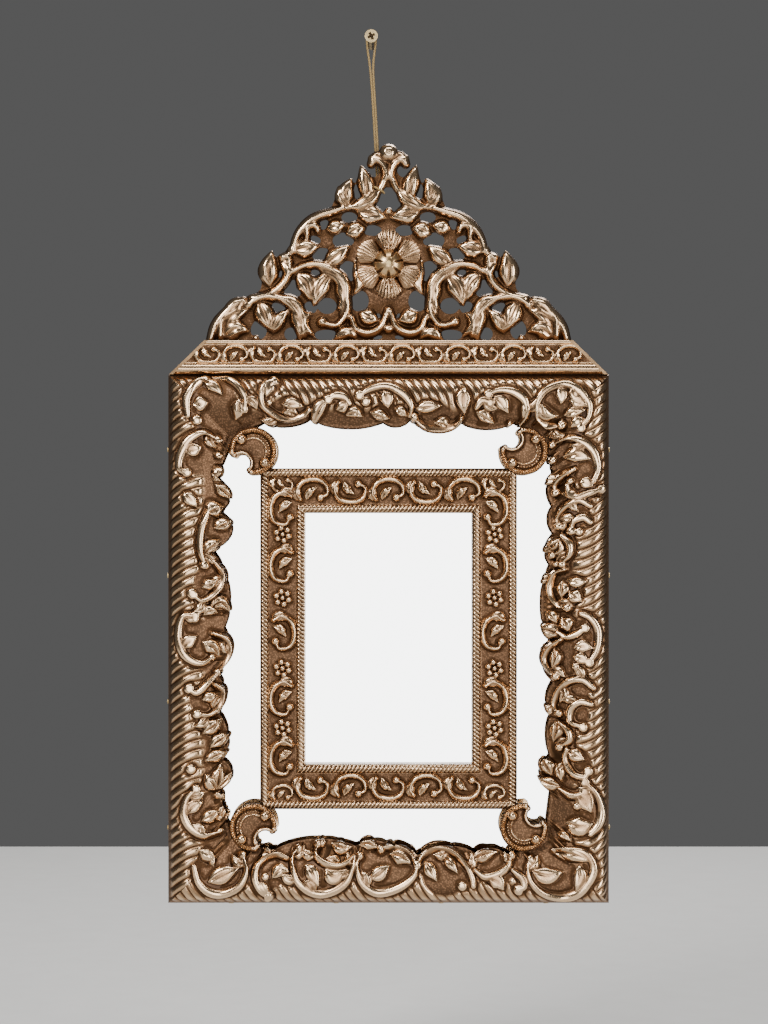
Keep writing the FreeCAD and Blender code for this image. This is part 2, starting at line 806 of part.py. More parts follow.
def panes():
    """One centre glass and four margin glasses mitred at the corners."""
    outer = sizes["moulding_width"] - sizes["glass_lap"] + sizes["edge_clearance"]
    out_x, out_z = half_width - outer, half_height - outer
    in_x, in_z = slip_half_x - sizes["slip_lap"], slip_half_z - sizes["slip_lap"]
    inside = sizes["slip_band"] - sizes["slip_lap"]
    depth, thickness = sizes["board_thickness"], sizes["glass_thickness"]
    plate("glass_centre", rectangle(slip_half_x - inside, slip_half_z - inside), depth, thickness)
    for hand, name in ((1, "top"), (-1, "bottom")):
        outline = [(-out_x, hand * out_z), (out_x, hand * out_z), (in_x, hand * in_z), (-in_x, hand * in_z)]
        plate(f"glass_{name}", outline, depth, thickness)
    for hand, name in ((1, "right"), (-1, "left")):
        outline = [(hand * out_x, -out_z), (hand * out_x, out_z), (hand * in_x, in_z), (hand * in_x, -in_z)]
        plate(f"glass_{name}", outline, depth, thickness)


# Ornament vocabulary, all drawn on the XZ plane at one depth

def front_point(place_xz, depth):
    return Vector(place_xz[0], -depth, place_xz[1])


def bead(centre, radius, depth):
    return Part.makeSphere(radius, front_point(centre, depth))


def arc_tube(start, middle, stop, radius, depth):
    """A round stem along one arc, given by three points."""
    a, b, c = (front_point(p, depth) for p in (start, middle, stop))
    path = Part.Arc(a, b, c).toShape()
    heading = path.tangentAt(path.FirstParameter)
    section = Part.Face(Part.Wire(Part.Circle(a, heading, radius).toShape()))
    sweep = math.degrees(path.LastParameter - path.FirstParameter)
    return section.revolve(path.Curve.Center, path.Curve.Axis, sweep)


def leaf(centre, angle, length, half_breadth, depth):
    """A pointed leaf, a spindle turned about its own midrib."""
    middle = front_point(centre, depth)
    turn = math.radians(angle)
    along = Vector(math.cos(turn), 0, math.sin(turn)) * (length / 2)
    across = Vector(-math.sin(turn), 0, math.cos(turn)) * half_breadth
    tip, tail = middle + along, middle - along
    curve = Part.BezierCurve()
    curve.setPoles([tail, middle + across * 2, tip])
    rib = Part.LineSegment(tip, tail).toShape()
    return Part.Face(Part.Wire([curve.toShape(), rib])).revolve(middle, along, 360)


# Corner scrolls

BACK_MARGIN = 0.1
NOTCH_ANGLE = 225
NOTCH_REACH_RATIO = 0.75
RIM_BEAD_RATIO = 1.35
RIM_ANGLES = (-95, 45, 185)


def lip_surface(inward):
    """Depth of the sheet's lip at a distance in from the frame's edge."""
    start = slope_depth(sheet_stand)
    stop = sizes["lip_depth"].value + sizes["sheet_gauge"].value
    run = sizes["lip_reach"].value - sizes["moulding_width"].value
    return start + (stop - start) * (inward - sizes["moulding_width"].value) / run


def corner_scroll(name, side, hand_x, hand_z):
    """A C-shaped shell with a round rim and a bead at each end, seated on the sheet's lip."""
    radius, rim = sizes["corner_radius"].value, sizes["corner_rim"].value
    notch_radius = sizes["corner_notch_radius"].value
    thickness = sizes["corner_thickness"].value
    seat = lip_surface(sizes["corner_inset_z"].value - radius) + sizes["sheet_gap"].value
    toward_notch = math.radians(NOTCH_ANGLE)
    notch_reach = radius * NOTCH_REACH_RATIO
    notch_centre = (notch_reach * math.cos(toward_notch), notch_reach * math.sin(toward_notch))
    disc = Part.makeCylinder(radius, thickness, Vector(0, -seat, 0), Vector(0, -1, 0))
    notch = Part.makeCylinder(notch_radius, 3 * thickness, front_point(notch_centre, seat - thickness),
                              Vector(0, -1, 0))
    rim_radius = radius - rim / 2
    bead_radius = rim * RIM_BEAD_RATIO

    def on_rim(degrees):
        angle = math.radians(degrees)
        return (rim_radius * math.cos(angle), rim_radius * math.sin(angle))

    start, middle, stop = (on_rim(angle) for angle in RIM_ANGLES)
    stem = arc_tube(start, middle, stop, rim, seat + rim + BACK_MARGIN)
    beads = [bead(end, bead_radius, seat + bead_radius + BACK_MARGIN) for end in (start, stop)]
    whole = disc.cut(notch).fuse([stem] + beads)
    feature = doc.addObject("Part::Feature", name)
    feature.Label = name
    feature.Shape = whole
    x = centre_x + hand_x * (half_width - sizes["corner_inset_x"])
    z = centre_z + hand_z * (half_height - sizes["corner_inset_z"])
    place(feature, x, 0, z, SIDE_TURN[side])
    return feature


# Crest

crest_face = sizes["crest_plate_back"] + sizes["crest_plate_thickness"]
tongue_half = rail_half_top - sizes["crest_tongue_shoulder"]
ROSETTE_X, ROSETTE_Z = crest_units(0.0, 44.0)

# Left half of the crest's outline from its foot to the finial, in arcs: point, then the bulge after it
CREST_OUTLINE = [
    (-99, 0, 0), (-99, 5, 2), (-88, 17, 1), (-84, 25, 2.5), (-75, 31, 1),
    (-73, 49, 2.5), (-63, 49, 1.5), (-58, 58, 4), (-34, 75, 0), (-31, 86, 2),
    (-21, 92, 0), (-19, 99, 2), (-10, 101, 1.5), (-9, 108, 1.5), (0, 111, 0),
]

# Openings of the left half: centre and radius
CREST_OPENINGS = [
    (-11.3, 90, 4.4), (-25, 71.5, 2.8), (-9.5, 67, 3.4), (-29.5, 60, 3.2), (-39.5, 50, 2.6),
    (-26.5, 39, 2.4), (-19.3, 25, 3.4), (-12, 11.5, 2.8), (-46, 29, 3), (-36, 8, 2.6), (-63, 15, 3),
    (-72, 6.5, 2.4), (-61, 33, 2.8), (-49, 59, 2.6), (-86, 6.5, 2.4), (-24, 6.5, 2.2), (-50, 6, 2.2),
]
CENTRE_OPENINGS = [(0, 83, 4.6), (0, 12, 2.2)]

# Stems of the left half: start, middle and end of each arc, and the stem's radius
CREST_STEMS = [
    ((-3.7, 97.9), (-2.9, 102), (-1.5, 105.5), 2.4),
    ((-17.1, 78.8), (-25, 75.9), (-33, 75), STEM_RADIUS),
    ((-33, 75), (-48, 69), (-57, 57), STEM_RADIUS),
    ((-58, 40), (-42, 43), (-26.5, 28), 2.8),
    ((-26.5, 28), (-30, 16), (-41, 11.5), 2.8),
    ((-82.5, 23), (-68, 27), (-53.5, 17), 2.5),
    ((-53.5, 17), (-51.5, 10), (-55, 4.5), 2.5),
    ((-23, 15), (-13.5, 5.5), (-3, 18), 1.9),
]
CREST_BEADS = [
    (-57, 57, 3.6), (-58, 40, 3.4), (-41, 11.5, 3.8), (-82.5, 23, 3.2), (-55, 4.5, 3.2), (-23, 15, 2.6),
    (-3, 18, 2.6), (-6.8, 104.5, 2.9), (-33, 75, 2.9), (-26.5, 28, 3.1), (-53.5, 17, 2.8),
]
CREST_LEAVES = [
    (-14.7, 95, 125, 15, 3.2), (-25, 84.5, 125, 15, 3.2), (-68, 43.5, 110, 15, 3.8), (-72, 33, 140, 14, 3.2),
    (-93, 8, 140, 15, 3.6), (-86, 15, 20, 12, 2.6), (-46, 60, 60, 13, 2.8), (-44, 28, 205, 14, 3.2),
    (-66, 13, 200, 14, 3), (-14, 66, 70, 13, 2.6),
]
FINIAL = (0.0, 107.8, 4.6)
NECK_BEAD = 2.95


def blocked_outline(sketch, points):
    """Draw a freehand outline of arcs and lines, each bulging outward by its own height."""
    for (x_a, z_a, bulge), (x_b, z_b, _) in zip(points, points[1:] + points[:1]):
        a, b = Vector(x_a, z_a, 0), Vector(x_b, z_b, 0)
        if bulge:
            across = (b - a).cross(Vector(0, 0, 1)).normalize()
            edge = Part.Arc(a, (a + b) / 2 + across * -bulge, b)
        else:
            edge = Part.LineSegment(a, b)
        sketch.addConstraint(Sketcher.Constraint("Block", sketch.addGeometry(edge)))


def mirrored_outline(half):
    """Close a left-hand outline with its mirror image; a bulge belongs to the stretch after its point."""
    right = []
    for (x, z, _), (_, _, bulge) in zip(half[-2::-1], half[-2::-1][1:] + [(0, 0, 0)]):
        right.append((-x, z, bulge))
    left = [(x, z, bulge) for x, z, bulge in half]
    left[-1] = (left[-1][0], left[-1][1], half[-2][2])
    return left + right


def crest_plate():
    body = new_body("crest_plate")
    sketch = new_sketch(body, "XZ_Plane", "outline", sizes["crest_plate_back"])
    outline = [crest_units(*point) for point in CREST_OUTLINE]
    blocked_outline(sketch, mirrored_outline(outline))
    add_pad(body, sketch, sizes["crest_plate_thickness"])
    tongue = new_sketch(body, "XZ_Plane", "tongue", sizes["crest_plate_back"])
    draw_loop(tongue, [(-tongue_half, -sizes["crest_tongue"]), (tongue_half, -sizes["crest_tongue"]),
                       (tongue_half, 1), (-tongue_half, 1)])
    add_pad(body, tongue, sizes["crest_plate_thickness"])
    both = CREST_OPENINGS + [(-x, z, radius) for x, z, radius in CREST_OPENINGS] + CENTRE_OPENINGS
    for radius in sorted({opening[2] for opening in both}):
        centres = [crest_units(x, z) for x, z, size in both if size == radius]
        name = f"openings_{round(10 * radius)}"
        drill(body, "XZ_Plane", name, centres, radius * crest_unit, 0, CUT_THROUGH)
    tie_places = [(TIE_X, TIE_Z), (-TIE_X, TIE_Z)]
    tie_radius = stem_radius + sizes["tie_opening_margin"]
    drill(body, "XZ_Plane", "tie_openings", tie_places, tie_radius, 0, CUT_THROUGH)
    drill(body, "XZ_Plane", "pin_hole", [(ROSETTE_X, ROSETTE_Z)], pin_hole, 0, CUT_THROUGH)
    place(body, centre_x, 0, crest_z)
    return body


def crest_scrolls():
    """The stems, beads and leaves in relief, half of them drawn and half mirrored."""
    depth = crest_face.value
    neck = [neck_point(angle) for angle in NECK_ANGLES]
    half = [arc_tube(*neck, stem_radius, depth)]
    half += [bead(end, NECK_BEAD * crest_unit, depth) for end in (neck[0], neck[2])]
    for start, middle, stop, radius in CREST_STEMS:
        points = [crest_units(*point) for point in (start, middle, stop)]
        half.append(arc_tube(*points, radius * crest_unit, depth))
    for x, z, radius in CREST_BEADS:
        half.append(bead(crest_units(x, z), radius * crest_unit, depth))
    for x, z, angle, length, breadth in CREST_LEAVES:
        half.append(leaf(crest_units(x, z), angle, *crest_units(length, breadth), depth))
    other = [shape.mirror(Vector(0, 0, 0), Vector(1, 0, 0)) for shape in half]
    finial_x, finial_z, finial_radius = crest_units(*FINIAL)
    finial = bead((finial_x, finial_z), finial_radius, depth)
    back = sizes["crest_plate_back"].value + BACK_MARGIN
    reach = 2 * rail_half_top.value
    behind = Part.makeBox(2 * reach, back, 2 * reach, Vector(-reach, -back, -reach))
    feature = doc.addObject("Part::Feature", "crest_scrolls")
    feature.Shape = finial.fuse(half + other).cut(behind)
    place(feature, centre_x, 0, crest_z)
    return feature


def crest_rail():
    """The wooden rail that carries the crest: sloped ends, a groove above and dowel holes below."""
    height = sizes["crest_rail_height"]
    outline = [
        (-rail_half_bottom, -height), (rail_half_bottom, -height),
        (rail_half_top, 0), (-rail_half_top, 0),
    ]
    body = plate("crest_rail", outline, 0, sizes["crest_rail_depth"], z=crest_z)
    groove = new_sketch(body, "XY_Plane", "groove")
    back = sizes["crest_plate_back"] - sizes["pin_fit"]
    front = crest_face + sizes["pin_fit"]
    half = tongue_half + sizes["edge_clearance"]
    draw_loop(groove, [(-half, -front), (half, -front), (half, -back), (-half, -back)])
    add_pocket(body, groove, 2 * sizes["crest_tongue"])
    drill_dowels(body, -height, sizes["dowel_reach"])
    return body


def crest_ends():
    """Thin strips closing the crest rail's sloped ends."""
    thickness, height = sizes["crest_end_thickness"], sizes["crest_rail_height"]
    depth = sizes["crest_rail_depth"] + sheet_stand
    for hand, name in ((-1, "left"), (1, "right")):
        outline = [
            (hand * rail_half_bottom, -height),
            (hand * (rail_half_bottom + thickness), -height),
            (hand * (rail_half_top + thickness), 0),
            (hand * rail_half_top, 0),
        ]
        plate(f"crest_end_{name}", outline, 0, depth, z=crest_z)


def frieze_cover():
    """The embossed frieze: a round bead below, a flat field and a thin strip above."""
    height, gauge = sizes["crest_rail_height"], sizes["sheet_gauge"]
    back = sizes["crest_rail_depth"] + sizes["sheet_gap"]
    face = back + gauge
    bead_half = sizes["frieze_bead"] / 2
    body = new_body("frieze_cover")
    profile = new_sketch(body, "YZ_Plane", "profile")
    corners = [
        (-back, -height),
        (-face, -height),
        (-face, 2 * bead_half - height, "y follows"),
        (-face, -sizes["frieze_strip"]),
        (-(face + 2 * gauge), -sizes["frieze_strip"]),
        (-(face + 2 * gauge), 0),
        (-back, 0),
    ]
    draw_loop(profile, corners, {1: ((-face, bead_half - height), False)})
    add_pad(body, profile, 2 * rail_half_bottom, midplane=True)
    ends = new_sketch(body, "XZ_Plane", "ends")
    for hand in (1, -1):
        draw_loop(ends, [
            (hand * rail_half_bottom, -height),
            (hand * (rail_half_bottom + MITRE_SPARE), -height),
            (hand * (rail_half_bottom + MITRE_SPARE), 0),
            (hand * rail_half_top, 0),
        ])
    add_pocket(body, ends, CUT_THROUGH)
    place(body, centre_x, 0, crest_z)
    return body


PETALS = 6
PETAL_LENGTH_RATIO = 0.72
PETAL_BREADTH_RATIO = 0.24


def rosette():
    """Six petals round a hub, flat behind, seated on the crest's face."""
    seat = crest_face.value
    radius, hub = sizes["rosette_radius"].value, sizes["rosette_hub"].value
    petal_length = radius * PETAL_LENGTH_RATIO
    shapes = []
    for step in range(PETALS):
        angle = 90 + 360 / PETALS * step
        turn = math.radians(angle)
        reach = radius - petal_length / 2
        centre = (reach * math.cos(turn), reach * math.sin(turn))
        shapes.append(leaf(centre, angle, petal_length, radius * PETAL_BREADTH_RATIO, seat))
    disc = Part.makeCylinder(sizes["boss_radius"].value, hub, Vector(0, -seat, 0), Vector(0, -1, 0))
    behind = Part.makeBox(4 * radius, seat, 4 * radius, Vector(-2 * radius, -seat, -2 * radius))
    hole = Part.makeCylinder(pin_hole.value, 4 * hub, Vector(0, 0, 0), Vector(0, -1, 0))
    feature = doc.addObject("Part::Feature", "rosette")
    feature.Label = "rosette"
    feature.Shape = disc.fuse(shapes).cut(behind).cut(hole)
    place(feature, centre_x + ROSETTE_X, 0, crest_z + ROSETTE_Z)
    return feature


def rosette_boss():
    """The domed button in the middle of the rosette, drilled for its pin."""
    seat = crest_face.value + sizes["rosette_hub"].value
    half, rise = sizes["boss_radius"].value, sizes["boss_rise"].value
    ball = (half ** 2 + rise ** 2) / (2 * rise)
    dome = Part.makeSphere(ball, Vector(0, -(seat + rise - ball), 0))
    behind = Part.makeBox(4 * ball, 4 * ball, 4 * ball, Vector(-2 * ball, -seat, -2 * ball))
    hole = Part.makeCylinder(pin_hole.value, 4 * seat, Vector(0, 0, 0), Vector(0, -1, 0))
    feature = doc.addObject("Part::Feature", "rosette_boss")
    feature.Label = "rosette_boss"
    feature.Shape = dome.cut(behind).cut(hole)
    place(feature, centre_x + ROSETTE_X, 0, crest_z + ROSETTE_Z)
    return feature


def rosette_pin():
    front = crest_face + sizes["rosette_hub"] + sizes["boss_rise"]
    start = sizes["crest_plate_back"]
    x, z = centre_x + ROSETTE_X, crest_z + ROSETTE_Z
    head_depth = sizes["pin_head_depth"]
    shank = rod("rosette_shank", sizes["pin_radius"], front - start + head_depth, x, -start, z, *FORWARD)
    head = rod("rosette_head", sizes["pin_head_radius"], head_depth, x, -front, z, *FORWARD)
    return joined("rosette_pin", [shank, head])


def crest_dowels():
    half = sizes["dowel_spacing"] / 2
    length = 2 * sizes["dowel_reach"] + sheet_stand
    start = centre_z + half_height - sizes["dowel_reach"]
    upright = ((0, 0, 1), 0.0)
    radius, y = sizes["dowel_radius"], -sizes["dowel_depth"]
    dowels = []
    for hand in (-1, 1):
        x = centre_x + hand * half
        dowels.append(rod("crest_dowel", radius, length, x, y, start, *upright))
    return group("crest_dowels", dowels)


# Hanging

def hanging_screw():
    """The wall screw: its thread lies in the wall behind the origin, its head keeps the loop on."""
    reach = sizes["screw_reach"]
    thread = rod("screw_thread", sizes["screw_thread_radius"], reach, 0, reach, 0, *FORWARD)
    neck = rod("screw_neck", sizes["screw_radius"], sizes["screw_stand"], 0, 0, 0, *FORWARD)
    head = doc.addObject("Part::Cone", "screw_head")
    bind(head, "Radius1", sizes["screw_radius"])
    bind(head, "Radius2", sizes["screw_head_radius"])
    bind(head, "Height", sizes["screw_head_depth"])
    place(head, 0, -sizes["screw_stand"], 0)
    head.Placement = FreeCAD.Placement(head.Placement.Base, FreeCAD.Rotation(Vector(1, 0, 0), 90))
    return joined("hanging_screw", [thread, neck, head])


STRAND_HALF_GAP = 0.9
LOOP_PLAY = 0.15
KNOT_RADIUS = 1.5
KNOT_LENGTH = 4.0


def tube_along(edges, radius):
    """A round tube along straight runs and tangent arcs; returns the solid and its path length."""
    path = Part.Wire(edges)
    start = edges[0].valueAt(edges[0].FirstParameter)
    heading = edges[0].tangentAt(edges[0].FirstParameter)
    ring = Part.Wire(Part.Circle(start, heading, radius).toShape())
    return path.makePipeShell([ring], True, True), path.Length


def cord_loop():
    """Two strands from the knot, joined by an arc that goes over the screw."""
    radius = sizes["cord_diameter"].value / 2
    arc_radius = sizes["screw_radius"].value + LOOP_PLAY + radius
    y = -sizes["cord_depth"].value
    knot = Vector(sizes["cord_lean"].value, y, KNOT_LENGTH / 2 - sizes["cord_drop"].value)
    centre = Vector(0, y, 0)
    down = (knot - centre).normalize()
    side = Vector(-down.z, 0, down.x)
    ends, touches = [], []
    for hand in (-1, 1):
        end = knot + side * (hand * STRAND_HALF_GAP)
        span = (end - centre).Length
        toward = (end - centre).normalize()
        across = Vector(-toward.z, 0, toward.x)
        cosine = arc_radius / span
        touch = toward * (arc_radius * cosine) + across * (hand * arc_radius * math.sqrt(1 - cosine ** 2))
        ends.append(end)
        touches.append(centre + touch)
    over = Part.Arc(touches[0], centre - down * arc_radius, touches[1])
    edges = [
        Part.LineSegment(ends[0], touches[0]).toShape(),
        over.toShape(),
        Part.LineSegment(touches[1], ends[1]).toShape(),
    ]
    solid, length = tube_along(edges, radius)
    expected = math.pi * radius ** 2 * length
    ratio = solid.Volume / expected
    print(f"cord loop: arc radius {arc_radius:.2f}, length {length:.1f}, volume ratio {ratio:.4f}")
    feature = doc.addObject("Part::Feature", "cord_loop")
    feature.Label = "cord_loop"
    feature.Shape = solid
    return feature


def cord_hitch():
    """The turn of cord round the crest's stem, free to swing a little on it."""
    ring = doc.addObject("Part::Torus", "cord_hitch")
    ring.Label = "cord_hitch"
    bind(ring, "Radius1", stem_radius + sizes["hitch_clearance"] + sizes["cord_diameter"] / 2)
    bind(ring, "Radius2", sizes["cord_diameter"] / 2)
    place(ring, sizes["cord_lean"], -crest_face, -sizes["cord_drop"], -TIE_ANGLE)
    return ring


def cord_knot():
    """The knot behind the stem, where the hitch and both strands meet."""
    knot = doc.addObject("Part::Cylinder", "cord_knot")
    knot.Label = "cord_knot"
    knot.Radius = KNOT_RADIUS
    knot.Height = KNOT_LENGTH
    place(knot, sizes["cord_lean"], -sizes["cord_depth"], -sizes["cord_drop"] - KNOT_LENGTH / 2 + 1)
    return knot


# Assembly

for side_name in SIDE_TURN:
    slip_half = side_half(side_name, slip_half_x, slip_half_z)
    carcass = carcass_side(side_name)
    cover = cover_side(side_name)
    slip = slip_side(side_name)
    slip_cover_side(side_name)
    drill_board_pins(carcass, side_name)
    drill_slip_screws(slip, slip_half)
    if side_name == "top":
        drill_dowels(carcass, 0, sizes["dowel_reach"])
    else:
        drill_skirt_pins(carcass, side_name)
        drill_skirt_pins(cover, side_name)
    embossed_cover(side_name, cover)

back_board()
panes()
board_pins()
skirt_pins()
slip_screws()
corner_scroll("corner_top_left", "top", -1, 1)
corner_scroll("corner_top_right", "right", 1, 1)
corner_scroll("corner_bottom_right", "bottom", 1, -1)
corner_scroll("corner_bottom_left", "left", -1, -1)
crest_rail()
crest_ends()
frieze_cover()
joined("crest_panel", [crest_plate(), crest_scrolls()])
rosette()
rosette_boss()
rosette_pin()
crest_dowels()
hanging_screw()
cord_loop()
cord_hitch()
cord_knot()
doc.recompute()

SIDES = list(SIDE_TURN)
NODES = (
    [f"frame_{side}" for side in SIDES]
    + [f"cover_{side}" for side in SIDES]
    + [f"slip_{side}" for side in SIDES]
    + [f"slip_cover_{side}" for side in SIDES]
    + [f"glass_{side}" for side in SIDES]
    + ["corner_top_left", "corner_top_right", "corner_bottom_right", "corner_bottom_left"]
    + ["glass_centre", "back_board", "board_pins", "skirt_pins", "slip_screws"]
    + ["crest_rail", "crest_end_left", "crest_end_right", "frieze_cover", "crest_panel"]
    + ["rosette", "rosette_boss", "rosette_pin", "crest_dowels"]
    + ["hanging_screw", "cord_loop", "cord_hitch", "cord_knot"]
)

for thing in doc.Objects:
    if "Invalid" in thing.State or "Error" in thing.State:
        raise RuntimeError(f"{thing.Label}: {thing.State}")

os.makedirs("parts", exist_ok=True)
for node in NODES:
    shape = doc.getObject(node).Shape
    if shape.isNull() or not shape.isValid():
        raise RuntimeError(f"{node}: no valid shape")
    shape.exportStep(f"parts/{node}.step")
    print(f"{node}: {len(shape.Solids)} solids, {shape.Volume:.1f} mm3")
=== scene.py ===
# %% [markdown]
# # A cushion-framed mirror, dressed in embossed sheet
# The solids of the mirror come from the CAD model. This lesson gives them the looks of the real object:
# thin metal sheet, hammered up from behind into scrolls, leaves and flutes, nailed over a wooden frame.
# The main ornaments are read from the photograph, in its pixels, and turned into millimetres by one
# function.

import math

import bpy
import numpy as np
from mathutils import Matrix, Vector


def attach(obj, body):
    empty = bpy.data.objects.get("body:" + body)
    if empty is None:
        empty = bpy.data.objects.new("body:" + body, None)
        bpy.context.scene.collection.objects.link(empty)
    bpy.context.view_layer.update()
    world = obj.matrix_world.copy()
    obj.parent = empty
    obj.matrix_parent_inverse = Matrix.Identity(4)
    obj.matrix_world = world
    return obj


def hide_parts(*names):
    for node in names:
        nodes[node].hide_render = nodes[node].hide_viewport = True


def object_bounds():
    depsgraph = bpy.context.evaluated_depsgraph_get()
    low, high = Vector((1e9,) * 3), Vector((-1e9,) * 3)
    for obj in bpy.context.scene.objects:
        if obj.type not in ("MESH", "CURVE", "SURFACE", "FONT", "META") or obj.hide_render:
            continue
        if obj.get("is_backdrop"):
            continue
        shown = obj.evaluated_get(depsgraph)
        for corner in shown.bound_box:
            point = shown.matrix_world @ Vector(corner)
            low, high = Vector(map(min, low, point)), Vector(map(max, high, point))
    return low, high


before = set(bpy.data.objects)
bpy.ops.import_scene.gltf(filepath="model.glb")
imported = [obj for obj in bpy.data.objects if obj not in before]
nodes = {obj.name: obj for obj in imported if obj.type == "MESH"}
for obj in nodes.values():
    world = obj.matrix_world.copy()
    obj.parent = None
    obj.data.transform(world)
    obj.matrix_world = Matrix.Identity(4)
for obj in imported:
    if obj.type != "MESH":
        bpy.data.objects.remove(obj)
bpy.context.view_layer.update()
print("CAD nodes:", len(nodes))

# %% [markdown]
# ## Sizes
# One pixel of the photograph is 0.576 mm on the object. The mirror's own centre is the zero of all plan
# places; depth is counted forward from its back. These few sizes repeat those of the CAD part, so that the
# sheets lie on its wood.

# %% Sizes in millimetres
MM_PER_PIXEL = 0.576
PHOTO_CENTRE = (388.5, 637.5)
CREST_FOOT_PIXEL = (385.0, 342.0)
CENTRE_X, CENTRE_Z = 9.91, -345.35
CREST_Z = -175.15
HALF_X, HALF_Z = 125.0, 150.0
SKIRT, SKIRT_FOOT, SIDE_DEPTH, SHOULDER = 0.8, 8.0, 12.0, 11.0
SLOPE_RADIUS, WOOD_EDGE = 26.0, 24.0
LIP_FAR, LIP_DEPTH = 42.0, 11.1
CORNER_REACH = 36.0
SLIP_HALF_X, SLIP_HALF_Z, SLIP_BAND = 72.5, 96.5, 24.0
SLIP_FACE, SLIP_FOOT = 13.3, 6.6
ROPE_WIDTH, ROPE_RISE = 5.0, 2.5
CORNER_X, CORNER_Z, CORNER_RADIUS = 77.0, 107.0, 13.0
SHEET = 0.6


def to_mm(points, origin=PHOTO_CENTRE):
    """Pixels of the photograph to millimetres from an origin, which is the mirror's centre if not named."""
    return (np.asarray(points, float) - origin) * (MM_PER_PIXEL, -MM_PER_PIXEL)


def to_crest(points):
    """The same from the middle of the crest's foot."""
    return to_mm(points, CREST_FOOT_PIXEL)


print("frame", 2 * HALF_X, "by", 2 * HALF_Z, "mm")

# %% [markdown]
# ## Relief
# A smith raises a motif from the back and then chases its outline from the front. Sculpting each leaf by
# hand would take days, so a height map does the same: strokes, leaves and beads rise from the ground, and
# a thin trench is sunk round each of them.

# %% Curves and soft steps
def smooth_line(points, step=0.3):
    """Points close together on a smooth curve through the given ones."""
    p = np.asarray(points, float)
    p = np.vstack([2 * p[0] - p[1], p, 2 * p[-1] - p[-2]])
    pieces = []
    for a, b, c, d in zip(p, p[1:], p[2:], p[3:]):
        count = max(2, int(np.hypot(*(c - b)) / step))
        t = np.linspace(0, 1, count, endpoint=False)[:, None]
        bend = (2 * a - 5 * b + 4 * c - d) * t ** 2 + (3 * b - a - 3 * c + d) * t ** 3
        pieces.append(0.5 * (2 * b + (c - a) * t + bend))
    pieces.append(p[-2:-1])
    return np.vstack(pieces)


def run_of(line):
    return np.hypot(*np.diff(line, axis=0).T).sum()


def smoothstep(low, high, value):
    t = np.clip((value - low) / (high - low), 0, 1)
    return t * t * (3 - 2 * t)


def soften(field, reach):
    """Blur a map with two passes of a running mean along each axis."""
    width = 2 * reach + 1
    for axis in (0, 1, 0, 1):
        edge = [(reach + 1, reach) if a == axis else (0, 0) for a in (0, 1)]
        total = np.cumsum(np.pad(field, edge, mode="edge"), axis=axis)
        last = total.shape[axis]
        ahead = np.take(total, np.arange(width, last), axis)
        behind = np.take(total, np.arange(last - width), axis)
        field = (ahead - behind) / width
    return field


# %% Motifs
# Sections of a stem, a sharp stem and a leaf: two powers that say how they fall off from the middle
ROUND, RIDGED, LEAFY = (2, 0.6), (1.4, 0.9), (2, 0.65)
RIB_DEPTH, VEIN_DEPTH, CREASE_DEPTH, CREASE_WIDTH = 0.16, 0.015, 0.45, 0.2
LEAF_MARGIN = 12.0
SPARE = 2.0
OUTSIDE = -9.0


def dome(across, section):
    rise, fall = section
    return np.clip(1 - across ** rise, 0, 1) ** fall


